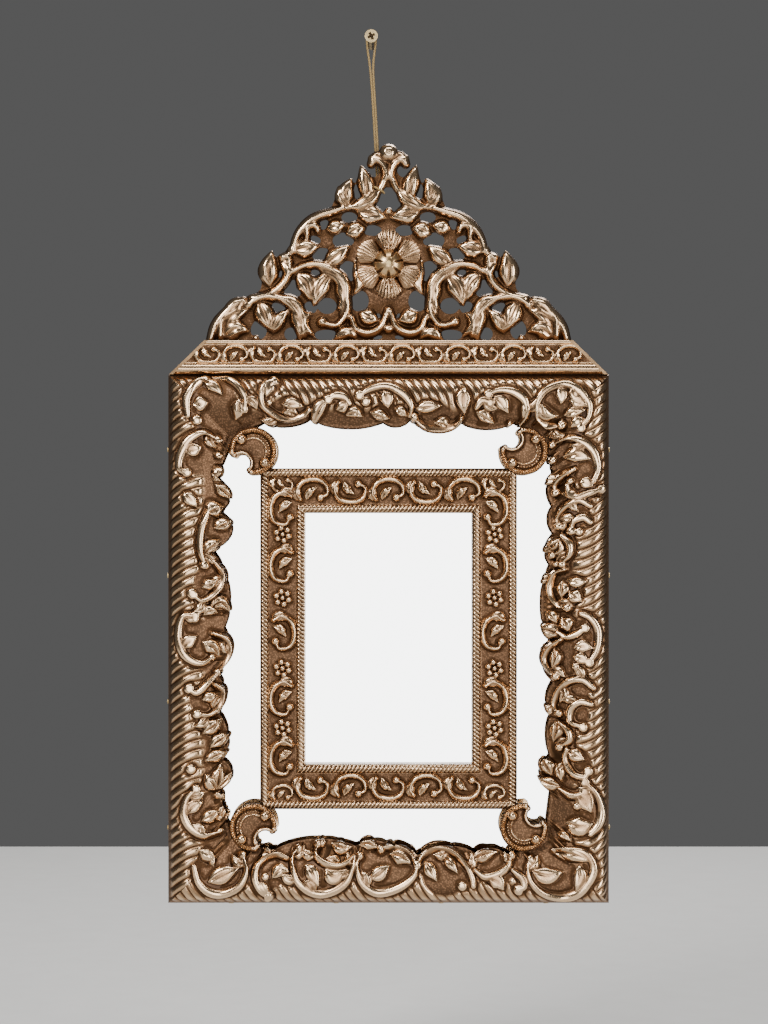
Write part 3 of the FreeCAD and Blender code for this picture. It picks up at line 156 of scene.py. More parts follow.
class Relief:
    """Heights over the plan of one sheet, raised motif by motif, in millimetres."""

    def __init__(self, x, z, unit=to_mm):
        self.x, self.z, self.unit = x, z, unit
        self.height = np.zeros_like(x)
        self.solid = np.full_like(x, OUTSIDE)

    def follow(self, line, reach):
        """Points near a line, their distance from it and their share of the way along it."""
        low, high = line.min(axis=0) - reach, line.max(axis=0) + reach
        inside = (self.x > low[0]) & (self.x < high[0]) & (self.z > low[1]) & (self.z < high[1])
        where = np.nonzero(inside)
        plan = np.stack([self.x[where], self.z[where]], axis=1)
        best = np.full(len(plan), np.inf)
        share = np.zeros(len(plan))
        for i, point in enumerate(line):
            distance = np.hypot(*(plan - point).T)
            closer = distance < best
            best[closer] = distance[closer]
            share[closer] = i / max(1, len(line) - 1)
        return where, best, share

    def raise_to(self, where, height, margin):
        self.height[where] = np.maximum(self.height[where], height)
        self.solid[where] = np.maximum(self.solid[where], margin)

    def bead(self, centre, radius, height):
        where, distance, _ = self.follow(self.unit([centre]), radius + SPARE)
        self.raise_to(where, height * dome(distance / radius, ROUND), radius - distance)

    def stroke(self, points, width, height, taper=0.0, rib=0.0, swell=0.0, section=ROUND):
        """A stem that may thin toward its end, be nicked across, or swell in the middle."""
        line = smooth_line(self.unit(points))
        where, distance, share = self.follow(line, width * (1 + swell) + SPARE)
        half = width * (1 - taper * share) * (1 - 0.4 * swell + swell * np.sin(np.pi * share))
        rise = dome(distance / half, section)
        if rib:
            rise = rise * (1 - RIB_DEPTH + RIB_DEPTH * np.cos(2 * np.pi * share * run_of(line) / rib))
        self.raise_to(where, height * rise * (1 - 0.4 * taper * share), half - distance)

    def scroll(self, points, width, height, bead, taper, swell):
        """A ridged stroke that curls up into a bead at its far end."""
        self.stroke(points, width, height, taper, swell=swell, section=RIDGED)
        self.bead(points[-1], bead, height * 1.1)

    def leaf(self, points, width, height, veins=1.5):
        self.blade(smooth_line(self.unit(points)), width, height, veins)

    def blade(self, line, width, height, veins):
        """A leaf that swells and tapers along its line, creased down the middle."""
        where, distance, share = self.follow(line, width + SPARE)
        half = width * np.sin(np.pi * np.clip(share, 0.015, 0.985) ** 0.8) + 0.05
        across = distance / half
        swell = dome(across, LEAFY) * (0.4 + 0.6 * np.sin(np.pi * share))
        crease = 1 - CREASE_DEPTH * np.exp(-(across / CREASE_WIDTH) ** 2) * (1 - 0.7 * share)
        wave = np.cos(2 * np.pi * (share * run_of(line) - 0.8 * distance) / veins)
        vein = 1 - VEIN_DEPTH + VEIN_DEPTH * wave
        self.raise_to(where, height * swell * crease * vein, half - distance)

    def acanthus(self, points, length, width, height, spacing):
        """Leaflets that spring from a stem by turns to both sides, clear of the fluted shoulder."""
        line = smooth_line(self.unit(points))
        count = max(1, int(run_of(line) / spacing))
        for i in range(count):
            at = int((i + 0.6) / count * (len(line) - 2))
            ahead = (line[at + 1] - line[at]) / np.hypot(*(line[at + 1] - line[at]))
            aside = np.array([-ahead[1], ahead[0]]) * (1 if i % 2 else -1)
            bend = line[at] + length * (0.35 * ahead + 0.4 * aside)
            tip = line[at] + length * (0.85 * ahead + 0.55 * aside)
            if abs(tip[0]) < HALF_X - LEAF_MARGIN and abs(tip[1]) < HALF_Z - LEAF_MARGIN:
                self.blade(smooth_line([line[at], bend, tip]), width, height, veins=1.4)


def chased(solid, firm, reach, strength, field=1.0):
    """Where a motif stands, and the halo round it that the chasing tool presses down."""
    raised = smoothstep(-0.1, firm, solid) * field
    return raised, np.clip(soften(raised, reach) * strength, 0, 1) * field


# %% [markdown]
# ## Sheets
# A sheet starts as a flat grid. Its points are then laid over the moulding, as the smith lays the metal
# over the wood, and each point keeps a number that says if it lies high or in a recess. A texture could
# paint that, but the numbers fit the relief exactly. The finish reads them: the heights get a lighter
# colour, partly polish from handling and partly painted highlight, and the hollows a darker one, partly
# dirt and partly painted shade.

# %% Sheet tools
SIDES = ("top", "right", "bottom", "left")
LEVEL = ("top", "bottom")
FORWARD = Vector((0, -1, 0))
FULL_LIGHT = 1.5


def select_only(piece):
    bpy.ops.object.select_all(action="DESELECT")
    piece.select_set(True)
    bpy.context.view_layer.objects.active = piece


def edit_all(operation, **settings):
    """Run one mesh operation on all of the active piece, in edit mode."""
    bpy.ops.object.mode_set(mode="EDIT")
    bpy.ops.mesh.select_all(action="SELECT")
    operation(**settings)
    bpy.ops.object.mode_set(mode="OBJECT")


def keep_number(mesh, name, values):
    attribute = mesh.attributes.new(name, "FLOAT", "POINT")
    attribute.data.foreach_set("value", np.asarray(values, np.float32).ravel())


def read_places(mesh):
    flat = np.empty(len(mesh.vertices) * 3, np.float32)
    mesh.vertices.foreach_get("co", flat)
    return flat.reshape(-1, 3)


def plain_grid(name, rows, columns):
    """A new grid, and the row and column of each of its vertices."""
    bpy.ops.mesh.primitive_grid_add(x_subdivisions=columns - 1, y_subdivisions=rows - 1, size=1)
    piece = bpy.context.active_object
    piece.name = name
    places = read_places(piece.data)
    column = np.rint((places[:, 0] + 0.5) * (columns - 1)).astype(int)
    row = np.rint((places[:, 1] + 0.5) * (rows - 1)).astype(int)
    return piece, row, column


# This number colours the sheets: low in recesses, painted dark as dirt and painted shade, high on heights,
# painted light as wear and painted highlight
def cavity(height, reach=4):
    """From 0 in a recess to 1 on a height."""
    return np.clip(0.5 + (height - soften(height, reach)) / FULL_LIGHT, 0, 1)


def lay_sheet(name, plan_x, depth, plan_z, relief, ground):
    """A grid laid over a surface; the arrays have one row per line of the profile."""
    piece, row, column = plain_grid(name, *plan_x.shape)
    places = np.stack([plan_x + CENTRE_X, -depth, plan_z + CENTRE_Z], axis=2) / 1000
    piece.data.vertices.foreach_set("co", places[row, column].ravel())
    # The kept "relief" number is the wear and painted shade that the finish reads
    keep_number(piece.data, "relief", relief[row, column])
    keep_number(piece.data, "ground", ground[row, column])
    piece.data.update()
    facing = sum((polygon.normal for polygon in list(piece.data.polygons)[::97]), Vector())
    select_only(piece)
    if facing.dot(FORWARD) < 0:
        edit_all(bpy.ops.mesh.flip_normals)
    bpy.ops.object.shade_smooth()
    print(name, "triangles", 2 * len(piece.data.polygons))
    return piece


def side_plan(side, way, inward, half_x, half_z):
    """Place along a frame's side and place in the plan, from the share of the way and the place inward."""
    along = way * ((half_x if side in LEVEL else half_z) - inward)
    x, z = {
        "top": (along, half_z - inward),
        "bottom": (-along, inward - half_z),
        "right": (half_x - inward, -along),
        "left": (inward - half_x, along),
    }[side]
    return along, x, z


# %% [markdown]
# ## Ornament of the outer frame
# The band has two zones. Along its outer edge run curved flutes, as on a gadrooned plate; inside them lies
# a loose garland of C-scrolls, leaves and beads that ends in a wavy edge over the glass. A repeat would be
# shorter, but the garland never repeats, so its places are read one by one from the photograph, in pixels.

# %% Garland of the outer frame
SCROLLS = [
    # corner above left
    [(191, 417), (190, 400), (198, 387), (210, 380)],
    [(215, 377), (229, 380), (241, 388), (247, 399), (246, 410)],
    [(190, 474), (183, 469), (184, 456), (192, 441), (206, 433), (219, 439)],
    # left side
    [(210, 511), (204, 530), (203, 549), (207, 564)],
    [(215, 560), (224, 573), (220, 588), (206, 599), (196, 593)],
    [(214, 655), (203, 661), (188, 653), (182, 635), (186, 615), (198, 614)],
    [(214, 631), (227, 637), (231, 648), (227, 660), (219, 670)],
    [(219, 670), (210, 681), (200, 690), (192, 686)],
    [(216, 682), (224, 689), (222, 703), (212, 712), (200, 711)],
    [(221, 829), (206, 831), (193, 822), (187, 809), (190, 794), (199, 785)],
    [(218, 791), (227, 800), (230, 813)],
    # corner below left
    [(197, 861), (201, 876), (212, 886), (226, 888), (241, 881), (248, 866), (243, 851)],
    [(288, 854), (277, 850), (266, 853), (258, 862), (257, 873), (262, 884), (271, 890)],
    # bottom
    [(355, 853), (353, 863), (347, 876), (337, 884), (323, 888), (310, 885), (299, 876), (294, 864),
     (293, 852), (299, 845)],
    [(354, 852), (347, 858), (336, 861), (323, 857), (316, 850), (318, 841)],
    [(416, 864), (413, 871), (404, 879), (391, 885), (378, 887), (367, 882), (360, 873), (357, 861),
     (360, 852)],
    [(415, 858), (410, 850), (401, 845), (391, 843), (381, 846)],
    [(472, 880), (471, 872), (466, 861), (458, 852), (447, 846), (434, 845), (423, 851), (417, 860)],
    [(474, 865), (484, 871), (497, 868), (508, 860), (511, 851)],
    [(511, 865), (520, 872), (522, 880), (516, 884)],
    # corner below right
    [(552, 847), (568, 845), (582, 848), (590, 859), (588, 872), (577, 886), (560, 892), (541, 888),
     (529, 877), (526, 864), (530, 855)],
    # right side, upwards
    [(587, 829), (595, 819), (598, 805), (593, 790), (582, 778)], [(558, 786), (569, 792), (582, 788)],
    [(565, 746), (563, 758), (570, 770), (581, 773), (585, 767)],
    [(558, 720), (566, 729), (566, 738), (558, 745)],
    [(588, 701), (577, 699), (568, 706), (568, 719), (580, 724)],
    [(590, 685), (579, 677), (566, 679), (557, 688), (552, 702), (557, 711)],
    [(559, 638), (549, 645), (543, 657), (548, 669), (554, 675)],
    [(578, 612), (587, 616), (594, 626), (595, 638), (592, 650), (586, 660)],
    [(556, 630), (564, 635), (574, 632), (582, 626)],
    [(563, 568), (553, 572), (548, 583), (549, 595), (556, 604), (565, 606)],
    [(560, 534), (567, 543), (567, 553), (560, 563)], [(559, 541), (559, 549), (551, 554)],
    [(587, 506), (576, 500), (563, 506), (556, 517), (557, 525)],
    [(587, 522), (580, 517), (571, 521), (569, 530)],
    [(565, 484), (567, 493), (574, 497), (587, 493), (597, 490)],
    [(572, 469), (561, 475), (554, 483), (554, 492)],
    # corner above right
    [(590, 482), (594, 472), (594, 463), (590, 452), (580, 443), (566, 438), (551, 444)],
    [(536, 417), (535, 405), (543, 392), (560, 386), (576, 392), (586, 405), (585, 419), (578, 429)],
    [(537, 419), (547, 427), (560, 425)],
    # top, from right to left
    [(520, 424), (525, 417), (525, 409), (521, 400), (510, 393), (497, 392), (487, 396)],
    [(475, 409), (481, 402), (489, 404)], [(461, 419), (454, 427), (441, 430), (426, 428), (414, 418)],
    [(409, 416), (411, 409), (409, 403), (402, 395), (391, 389), (381, 388), (370, 391), (360, 397)],
    [(350, 405), (345, 399), (336, 397), (329, 401)],
    [(310, 411), (304, 416), (291, 420), (281, 419), (271, 413), (264, 406), (263, 396), (267, 387),
     (277, 383)],
]

# Leaves: the line of the midrib, and half the breadth in millimetres
LEAVES = [
    ([(196, 406), (211, 404)], 3.2), ([(206, 383), (218, 389), (225, 397)], 2.4),
    ([(241, 401), (240, 412), (236, 421)], 2.8), ([(189, 453), (197, 450), (205, 447)], 3.0),
    ([(216, 480), (224, 473), (231, 467)], 3.6), ([(218, 485), (226, 491), (233, 499)], 3.0),
    ([(187, 493), (193, 499), (200, 507)], 2.6), ([(209, 513), (217, 508), (226, 505)], 3.6),
    ([(217, 528), (225, 523), (235, 519)], 3.0), ([(207, 552), (214, 544), (222, 538)], 3.0),
    ([(205, 586), (211, 583), (219, 577)], 2.6), ([(212, 607), (222, 601), (232, 611)], 3.2),
    ([(206, 613), (212, 609), (220, 612)], 2.6), ([(186, 646), (191, 640), (200, 634)], 2.8),
    ([(206, 640), (214, 645), (221, 655)], 3.2), ([(205, 697), (213, 694), (220, 692)], 2.6),
    ([(206, 730), (214, 724), (224, 716)], 3.4), ([(213, 744), (222, 737), (232, 732)], 3.2),
    ([(208, 757), (220, 752), (231, 751)], 2.8), ([(219, 786), (220, 774), (222, 760)], 3.2),
    ([(219, 786), (226, 779), (233, 770)], 2.8), ([(219, 786), (213, 780), (208, 770)], 2.8),
    ([(190, 809), (196, 802), (206, 797)], 2.8), ([(204, 817), (213, 812), (223, 806)], 3.0),
    ([(203, 845), (211, 852), (216, 861)], 2.8), ([(211, 876), (227, 868), (241, 863)], 3.8),
    ([(274, 872), (282, 864), (291, 867)], 2.8), ([(262, 876), (266, 882), (271, 888)], 2.0),
    ([(306, 860), (312, 866), (320, 881)], 3.0), ([(326, 864), (335, 871), (346, 864)], 3.6),
    ([(332, 840), (343, 845), (353, 843)], 2.8), ([(359, 842), (368, 841), (380, 845)], 2.4),
    ([(370, 873), (379, 868), (390, 860)], 3.2), ([(390, 850), (400, 852), (411, 859)], 3.4),
    ([(424, 857), (429, 864), (436, 875)], 2.8), ([(443, 852), (450, 859), (457, 868)], 2.4),
    ([(471, 855), (483, 851), (497, 848)], 2.8), ([(487, 873), (496, 876), (502, 884)], 3.2),
    ([(530, 866), (546, 870), (561, 866)], 3.6), ([(576, 860), (577, 872), (572, 885)], 2.8),
    ([(552, 849), (571, 850), (589, 856)], 3.2), ([(564, 818), (577, 822), (590, 818)], 4.2),
    ([(572, 789), (582, 797), (588, 808)], 4.2), ([(555, 829), (562, 832), (569, 837)], 2.2),
    ([(550, 772), (545, 763), (539, 755)], 3.4), ([(558, 783), (546, 781), (533, 777)], 3.2),
    ([(557, 762), (558, 769), (560, 778)], 2.4), ([(565, 747), (573, 752), (582, 756)], 3.0),
    ([(556, 719), (555, 730), (552, 740)], 3.2), ([(553, 647), (554, 657), (551, 668)], 2.6),
    ([(571, 646), (580, 644), (590, 646)], 2.8), ([(570, 655), (578, 656), (587, 661)], 2.6),
    ([(558, 633), (548, 629), (536, 627)], 4.0), ([(544, 610), (551, 615), (556, 622)], 2.6),
    ([(560, 616), (564, 622), (567, 630)], 3.2), ([(560, 580), (561, 588), (560, 597)], 2.8),
    ([(565, 578), (573, 581), (584, 580)], 2.4), ([(567, 590), (572, 595), (579, 600)], 3.2),
    ([(545, 547), (552, 544), (560, 537)], 3.0), ([(561, 457), (574, 455), (588, 460)], 3.4),
    ([(577, 480), (583, 483), (590, 487)], 2.6), ([(538, 405), (543, 415), (556, 417)], 2.8),
    ([(556, 389), (559, 397), (558, 406)], 2.6), ([(567, 402), (575, 403), (584, 408)], 3.2),
    ([(562, 416), (571, 413), (583, 411)], 2.4), ([(492, 398), (500, 404), (508, 415)], 2.8),
    ([(475, 413), (484, 417), (494, 424)], 2.6), ([(463, 389), (462, 402), (464, 416)], 3.2),
    ([(415, 410), (428, 408), (441, 407)], 2.6), ([(384, 393), (387, 401), (388, 410)], 3.0),
    ([(395, 410), (402, 413), (407, 417)], 2.2), ([(371, 414), (380, 416), (390, 419)], 2.4),
    ([(337, 411), (343, 408), (350, 404)], 2.6), ([(328, 401), (319, 411), (311, 429)], 2.8),
    ([(284, 406), (294, 405), (305, 408)], 2.6), ([(278, 384), (271, 390), (268, 399)], 2.4),
    ([(346, 416), (355, 413), (364, 418)], 2.4), ([(521, 403), (524, 411), (521, 420)], 2.4),
]

# Beads: the centre, and the radius in millimetres
BEADS = [
    (200, 421, 3.2), (220, 439, 2.4), (190, 473, 2.8), (220, 455, 2.4), (195, 592, 3.0), (198, 617, 2.4),
    (214, 655, 2.4), (193, 685, 2.6), (194, 765, 3.0), (221, 828, 2.4), (221, 815, 2.0), (243, 851, 3.0),
    (267, 871, 2.4), (271, 404, 1.8), (299, 847, 2.4), (322, 840, 2.6), (361, 852, 2.2), (461, 880, 2.8),
    (510, 851, 2.2), (517, 883, 2.4), (530, 855, 2.8), (574, 802, 2.4), (585, 767, 2.6), (580, 724, 2.4),
    (558, 711, 2.2), (573, 664, 2.4), (555, 563, 2.4), (576, 531, 2.6), (560, 526, 2.2), (554, 493, 2.2),
    (568, 481, 2.2), (551, 460, 2.6), (551, 445, 2.4), (574, 422, 3.4), (366, 403, 3.0), (509, 424, 1.8),
]

# Fields inside the larger scrolls, left plain: the centre, and the radius in pixels
PLAIN_FIELDS = [
    (214, 402, 26), (203, 455, 22), (212, 580, 16), (203, 637, 20), (205, 697, 14), (207, 808, 20),
    (222, 866, 26), (273, 869, 15), (324, 866, 27), (386, 866, 27), (444, 868, 24), (497, 862, 18),
    (558, 869, 30), (577, 806, 24), (575, 758, 14), (577, 712, 10), (572, 693, 15), (572, 640, 24),
    (565, 588, 17), (572, 514, 15), (571, 462, 22), (561, 408, 26), (504, 414, 16), (438, 419, 15),
    (386, 416, 14), (340, 412, 8), (287, 412, 15),
]
print("garland:", len(SCROLLS), "scrolls,", len(LEAVES), "leaves,", len(BEADS), "beads")

# %% [markdown]
# ## Edge of the outer covers
# Each cover is one sheet that ends over the glass in an edge of uneven lobes, cut by hand. The lobes are
# the same as those of the CAD part. A cut with a boolean would leave long thin faces, so each column of
# the sheet simply ends where it meets the edge.

# %% Edge of the outer covers
# Lobes of the lip: place along in hundredths of half the side, reach between lobes, reach of the lobe
LOBES = {
    "top": [
        (-57.5, 27, 29), (-36, 25, 30), (-2.5, 26.5, 29), (10.5, 25, 31), (33.5, 27, 30.5), (57.5, 27, 0),
    ],
    "bottom": [
        (-54.5, 27, 31), (-40, 28, 32), (-13, 26, 32), (-2.5, 31, 35), (15, 32, 36), (53, 29.5, 0),
    ],
    "left": [
        (-58, 28, 35.5), (-46, 31, 33.5), (-27.5, 28, 31), (-12.5, 27.5, 34.5),
        (4, 31, 34), (33.5, 25, 35.5), (48.5, 29.5, 34), (61.5, 27, 0),
    ],
    "right": [
        (-63.5, 31.5, 34.5), (-50.5, 31.5, 34), (-40, 31, 35.5), (-28, 33, 38), (1, 33.5, 37.5),
        (16.5, 31.5, 35), (29.5, 33, 35), (44.5, 33, 39), (58.5, 32.5, 0),
    ],
}
LOBE_FULLNESS, LEAST_LIP, HALVINGS = 2.2, 0.5, 30


def lip_reach(side, along, half):
    """How far in the sheet reaches at a place along its side: a bent line with a bulge for each lobe."""
    lobes = [(place * half / 100, valley, peak) for place, valley, peak in LOBES[side]]
    corner = half - CORNER_REACH
    bends = [(place, valley) for place, valley, _ in lobes]
    bends = [(-corner, CORNER_REACH), *bends, (corner, CORNER_REACH)]
    reach = np.interp(along, *zip(*bends))
    for (a, low_a, peak), (b, low_b, _) in zip(lobes, lobes[1:]):
        t = np.clip((along - a) / (b - a), 0, 1)
        reach = reach + (peak - (low_a + low_b) / 2) * (1 - np.abs(2 * t - 1) ** LOBE_FULLNESS)
    return np.clip(reach, WOOD_EDGE + LEAST_LIP, LIP_FAR)


def edge_of_columns(side, way):
    """Where each column of the sheet meets the scalloped edge, found by halving."""
    half = HALF_X if side in LEVEL else HALF_Z
    low = np.full_like(way, WOOD_EDGE)
    high = np.full_like(way, LIP_FAR)
    for _ in range(HALVINGS):
        middle = (low + high) / 2
        short = lip_reach(side, way * (half - middle), half) > middle
        low = np.where(short, middle, low)
        high = np.where(short, high, middle)
    return low


print("lobes", {side: len(LOBES[side]) - 1 for side in SIDES})

# %% [markdown]
# ## Section of the outer covers
# The section is a skirt, a round shoulder, a slope and a lip, one after the other. A bevelled curve swept
# along each side would give it too, but rows of points that know their normal let the relief rise square
# to the wood. The sheet is folded back under the lip, so that its thickness shows.

# %% Section of the outer covers
def cushion_profile(edge, rows):
    """Inward place, depth and outward normal for each row and column of a cover."""
    skirt_rows, shoulder_rows, slope_rows, lip_rows = rows
    table = []

    def add_row(inward, depth, angle):
        lean, face = -math.cos(angle), math.sin(angle)
        table.append([value * np.ones_like(edge) for value in (inward, depth, lean, face)])

    for i in range(skirt_rows):
        add_row(-SKIRT, SKIRT_FOOT + (SIDE_DEPTH - SKIRT_FOOT) * i / skirt_rows, 0)
    radius = SHOULDER + SKIRT
    for i in range(shoulder_rows):
        angle = math.pi / 2 * i / shoulder_rows
        add_row(SHOULDER - radius * math.cos(angle), SIDE_DEPTH + radius * math.sin(angle), angle)
    radius = SLOPE_RADIUS + SKIRT
    far = math.asin((WOOD_EDGE - SHOULDER) / radius)
    centre = SIDE_DEPTH + SHOULDER - SLOPE_RADIUS
    for i in range(slope_rows):
        angle = far * i / slope_rows
        add_row(SHOULDER + radius * math.sin(angle), centre + radius * math.cos(angle), math.pi / 2 + angle)
    top = centre + radius * math.cos(far)
    fall = (top - LIP_DEPTH) / (LIP_FAR - WOOD_EDGE)
    for i in range(lip_rows):
        inward = WOOD_EDGE + (edge - WOOD_EDGE) * i / (lip_rows - 1)
        add_row(inward, top - fall * (inward - WOOD_EDGE), math.pi / 2 + math.atan(fall))
    return [np.array(part) for part in zip(*table)]


# FOLD_SHADE is the low number given to the folded rows, so the fold is painted dark: painted shade under
# the lip
FOLD_INSET, FOLD_SHADE = 0.3, 0.2


def fold_under(edge, lip_start, inward, depth, worn, ground):
    """Three more rows that fold the sheet's edge back under the lip."""
    start = np.full_like(edge, WOOD_EDGE + FOLD_INSET)
    top, low = depth[lip_start], depth[-1]
    for place, step in ((edge - FOLD_INSET, 0.0), ((edge + start) / 2, 0.4), (start, 0.6)):
        share = (place - WOOD_EDGE) / (edge - WOOD_EDGE)
        inward = np.vstack([inward, place])
        depth = np.vstack([depth, top + (low - top) * share - SHEET - step])
        worn = np.vstack([worn, np.full_like(edge, FOLD_SHADE)])
        ground = np.vstack([ground, np.zeros_like(edge)])
    return inward, depth, worn, ground


# %% [markdown]
# ## Relief of the outer covers
# The flutes, the garland and a thin bank along the edge are laid on one height map, and what stands up is
# pushed out along the section's normals. The corners stay flat where the crescents sit.

# %% Relief of the outer covers
FLUTE_PITCH = {"top": 4.9, "right": 5.5, "bottom": 5.1, "left": 5.5}
FLUTE_SWEEP, FLUTE_REACH, FLUTE_HEIGHT, FLUTE_FULLNESS = 10.0, 21.0, 1.25, 3.2
FLUTE_FADE = (17.0, 22.0)
SINK, TRENCH, BANK = 0.4, 0.6, 0.5
BANK_FADE, TRENCH_FADE = (1.6, 0.2), (2, 6)
FRONT_LIMIT = 25.7
# FIELD_SHADE lowers the number on the plain ground between the motifs, so it is painted darker: painted
# shade
FIELD_SHADE = 0.06


def dress_outer(relief):
    """Raise the whole garland on a sheet."""
    for points in SCROLLS:
        relief.acanthus(points, length=10.0, width=3.3, height=3.0, spacing=12.0)
        relief.scroll(points, width=2.3, height=3.8, bead=2.8, taper=0.2, swell=0.55)
    for points, breadth in LEAVES:
        relief.leaf(points, width=1.4 * breadth, height=4.0)
    for x, y, radius in BEADS:
        relief.bead((x, y), radius, height=3.6)


def plain_fields(x, z):
    """1 inside the larger scrolls, where the flutes stop, and 0 elsewhere."""
    plain = np.zeros_like(x)
    for px, py, radius in PLAIN_FIELDS:
        centre = to_mm([(px, py)])[0]
        distance = np.hypot(x - centre[0], z - centre[1]) / MM_PER_PIXEL
        plain = np.maximum(plain, 1 - smoothstep(radius - 3, radius + 1, distance))
    return plain


def flute_height(side, along, inward):
    """Round ribs over the shoulder that sweep aside as they climb."""
    climb = np.clip(inward, 0, FLUTE_REACH) / FLUTE_REACH
    phase = (along - FLUTE_SWEEP * (1 - (1 - climb) ** 2)) / FLUTE_PITCH[side]
    ridge = 1 - np.abs(2 * (phase % 1) - 1) ** FLUTE_FULLNESS
    return FLUTE_HEIGHT * ridge * (1 - smoothstep(*FLUTE_FADE, inward)) * smoothstep(-0.9, 3.0, inward)


def outer_cover(side, columns, rows=(3, 36, 32, 48)):
    way = np.linspace(-1, 1, columns)
    edge = edge_of_columns(side, way)
    inward, depth, lean, face = cushion_profile(edge, rows)
    along, x, z = side_plan(side, way, inward, HALF_X, HALF_Z)
    relief = Relief(x, z)
    dress_outer(relief)
    raised, halo = chased(relief.solid, firm=0.25, reach=3, strength=1.8)
    flutes = flute_height(side, along, inward) * (1 - plain_fields(x, z)) * (1 - halo)
    bank = BANK * smoothstep(*BANK_FADE, np.abs(edge - inward)) * (1 - halo)
    height = np.clip(np.maximum(relief.height, flutes + bank), 0, None)
    room = np.maximum(FRONT_LIMIT - depth, 1.0)
    trench = TRENCH * np.clip(halo - raised, 0, 1) * smoothstep(*TRENCH_FADE, inward)
    from_corner = np.hypot(np.abs(x) - CORNER_X, np.abs(z) - CORNER_Z)
    clear = 1 - smoothstep(CORNER_RADIUS + 1.5, CORNER_RADIUS - 1, from_corner)
    height = height / (1 + (height / room) ** 4) ** 0.25 - trench
    height = height * smoothstep(-0.5, 3.5, inward) * clear
    lift = height - SINK * smoothstep(-0.5, 2, inward)
    ground = (1 - raised) * (1 - np.clip(flutes * 2, 0, 1))
    worn = cavity(height) - FIELD_SHADE * ground
    inward, depth = inward + lift * lean, depth + lift * face
    inward, depth, worn, ground = fold_under(edge, sum(rows[:3]), inward, depth, worn, ground)
    _, x, z = side_plan(side, way, inward, HALF_X, HALF_Z)
    piece = lay_sheet(f"sheet_{side}", x, depth, z, worn, ground)
    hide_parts(f"cover_{side}")
    return piece


outer_sheets = [outer_cover(side, 520 if side in LEVEL else 600) for side in SIDES]

# %% [markdown]
# ## Covers of the inner frame
# The inner frame is a flat band between two twisted ropes. Its uprights carry C-scrolls, most of them with
# their backs outward, and six-bead flowers between them. Its rails carry lying C-scrolls, up and down by
# turns. Here the motifs do repeat, so one scroll and one flower serve for all, at places read in pixels.

# %% Section and motifs of the inner covers
ROPE_PITCH, ROPE_NICK = 2.3, 0.55
STILE_PIXELS, RAIL_PIXELS = (283.5, 493.5), (490.8, 784.2)
FLOWER_PIXELS = (534, 597, 667, 726)
STILE_SCROLLS = ((509, 1), (565, 1), (632, -1), (697, 1), (756, 1))
RAIL_SCROLLS, RAIL_STEP, RAIL_SCROLL_SIZE = 5, 37.5, 0.95
CORNER_SCROLL_SIZE, CORNER_SCROLL_SHIFT = 0.62, 6.0
# FIELD_EDGE_SHADE paints the flat field darker toward its ropes, as if it were a hollow: painted shade
FIELD_EDGE_SHADE = 0.05


def add_rope(table, start, count, steps):
    """Rows over one rope, half round from its start."""
    radius = ROPE_WIDTH / 2
    for i in range(count):
        angle = math.pi * i / steps
        lean, face = -math.cos(angle), math.sin(angle)
        table.append((start + radius + radius * lean, SLIP_FACE + ROPE_RISE * face, lean, face, angle))


def slip_profile(columns, rope_rows=17, field_rows=42, skirt_rows=3):
    """Inward place, depth, normal and rope angle for each row of an inner cover."""
    table = []
    outer, inner = -SKIRT, SLIP_BAND + SKIRT
    first, last = outer + ROPE_WIDTH, inner - ROPE_WIDTH
    fall = (SLIP_FACE - SLIP_FOOT) / skirt_rows
    for i in range(skirt_rows):
        table.append((outer, SLIP_FOOT + fall * i, -1, 0, -1))
    add_rope(table, outer, rope_rows, rope_rows)
    for i in range(field_rows):
        table.append((first + (last - first) * i / field_rows, SLIP_FACE, 0, 1, -1))
    add_rope(table, last, rope_rows, rope_rows - 1)
    for i in range(1, skirt_rows + 1):
        table.append((inner, SLIP_FACE - fall * i, 1, 0, -1))
    return [np.repeat(column[:, None], columns, axis=1) for column in np.array(table).T]


def flower(relief, x, y, reach=6.4, petals=6):
    """A bead with a ring of beads round it."""
    relief.bead((x, y), radius=1.7, height=1.9)
    for i in range(petals):
        angle = 2 * math.pi / petals * (i + 0.3)
        place = (x + reach * math.cos(angle), y + reach * math.sin(angle))
        relief.bead(place, radius=2.0, height=2.3)


def small_scroll(relief, x, y, hand, size=1.0, lying=False):
    """A C-scroll with a leaf at its head, and a leaf and a ball in its mouth; its back is to one hand."""
    def at(u, v):
        u, v = size * hand * u, size * v
        return (x + v, y + u) if lying else (x + u, y + v)

    body = [at(-9, -13), at(-1, -17), at(9, -11), at(12, 2), at(7, 13), at(-3, 15), at(-7, 8)]
    relief.leaf([at(-11, -13), at(-3, -17), at(8, -13)], width=3.4 * size, height=2.6 * size)
    relief.scroll(body, width=2.2 * size, height=3.0 * size, bead=2.6 * size, taper=0.2, swell=0.4)
    relief.leaf([at(-9, -7), at(-2, -4), at(4, 4)], width=2.9 * size, height=2.6 * size)
    relief.bead(at(0, -3), radius=2.4 * size, height=3.0 * size)


def dress_inner(relief):
    """Flowers and scrolls on the uprights, lying scrolls on the rails and at the corners."""
    for x, outward in zip(STILE_PIXELS, (-1, 1)):
        for y in FLOWER_PIXELS:
            flower(relief, x, y)
        for y, hand in STILE_SCROLLS:
            small_scroll(relief, x, y, hand * outward)
    for y, inward in zip(RAIL_PIXELS, (1, -1)):
        for i in range(RAIL_SCROLLS):
            place = PHOTO_CENTRE[0] + (i - RAIL_SCROLLS // 2) * RAIL_STEP
            small_scroll(relief, place, y, inward if i % 2 else -inward, RAIL_SCROLL_SIZE, lying=True)
        for x in STILE_PIXELS:
            shifted = y - CORNER_SCROLL_SHIFT * inward
            small_scroll(relief, x, shifted, inward, CORNER_SCROLL_SIZE, lying=True)


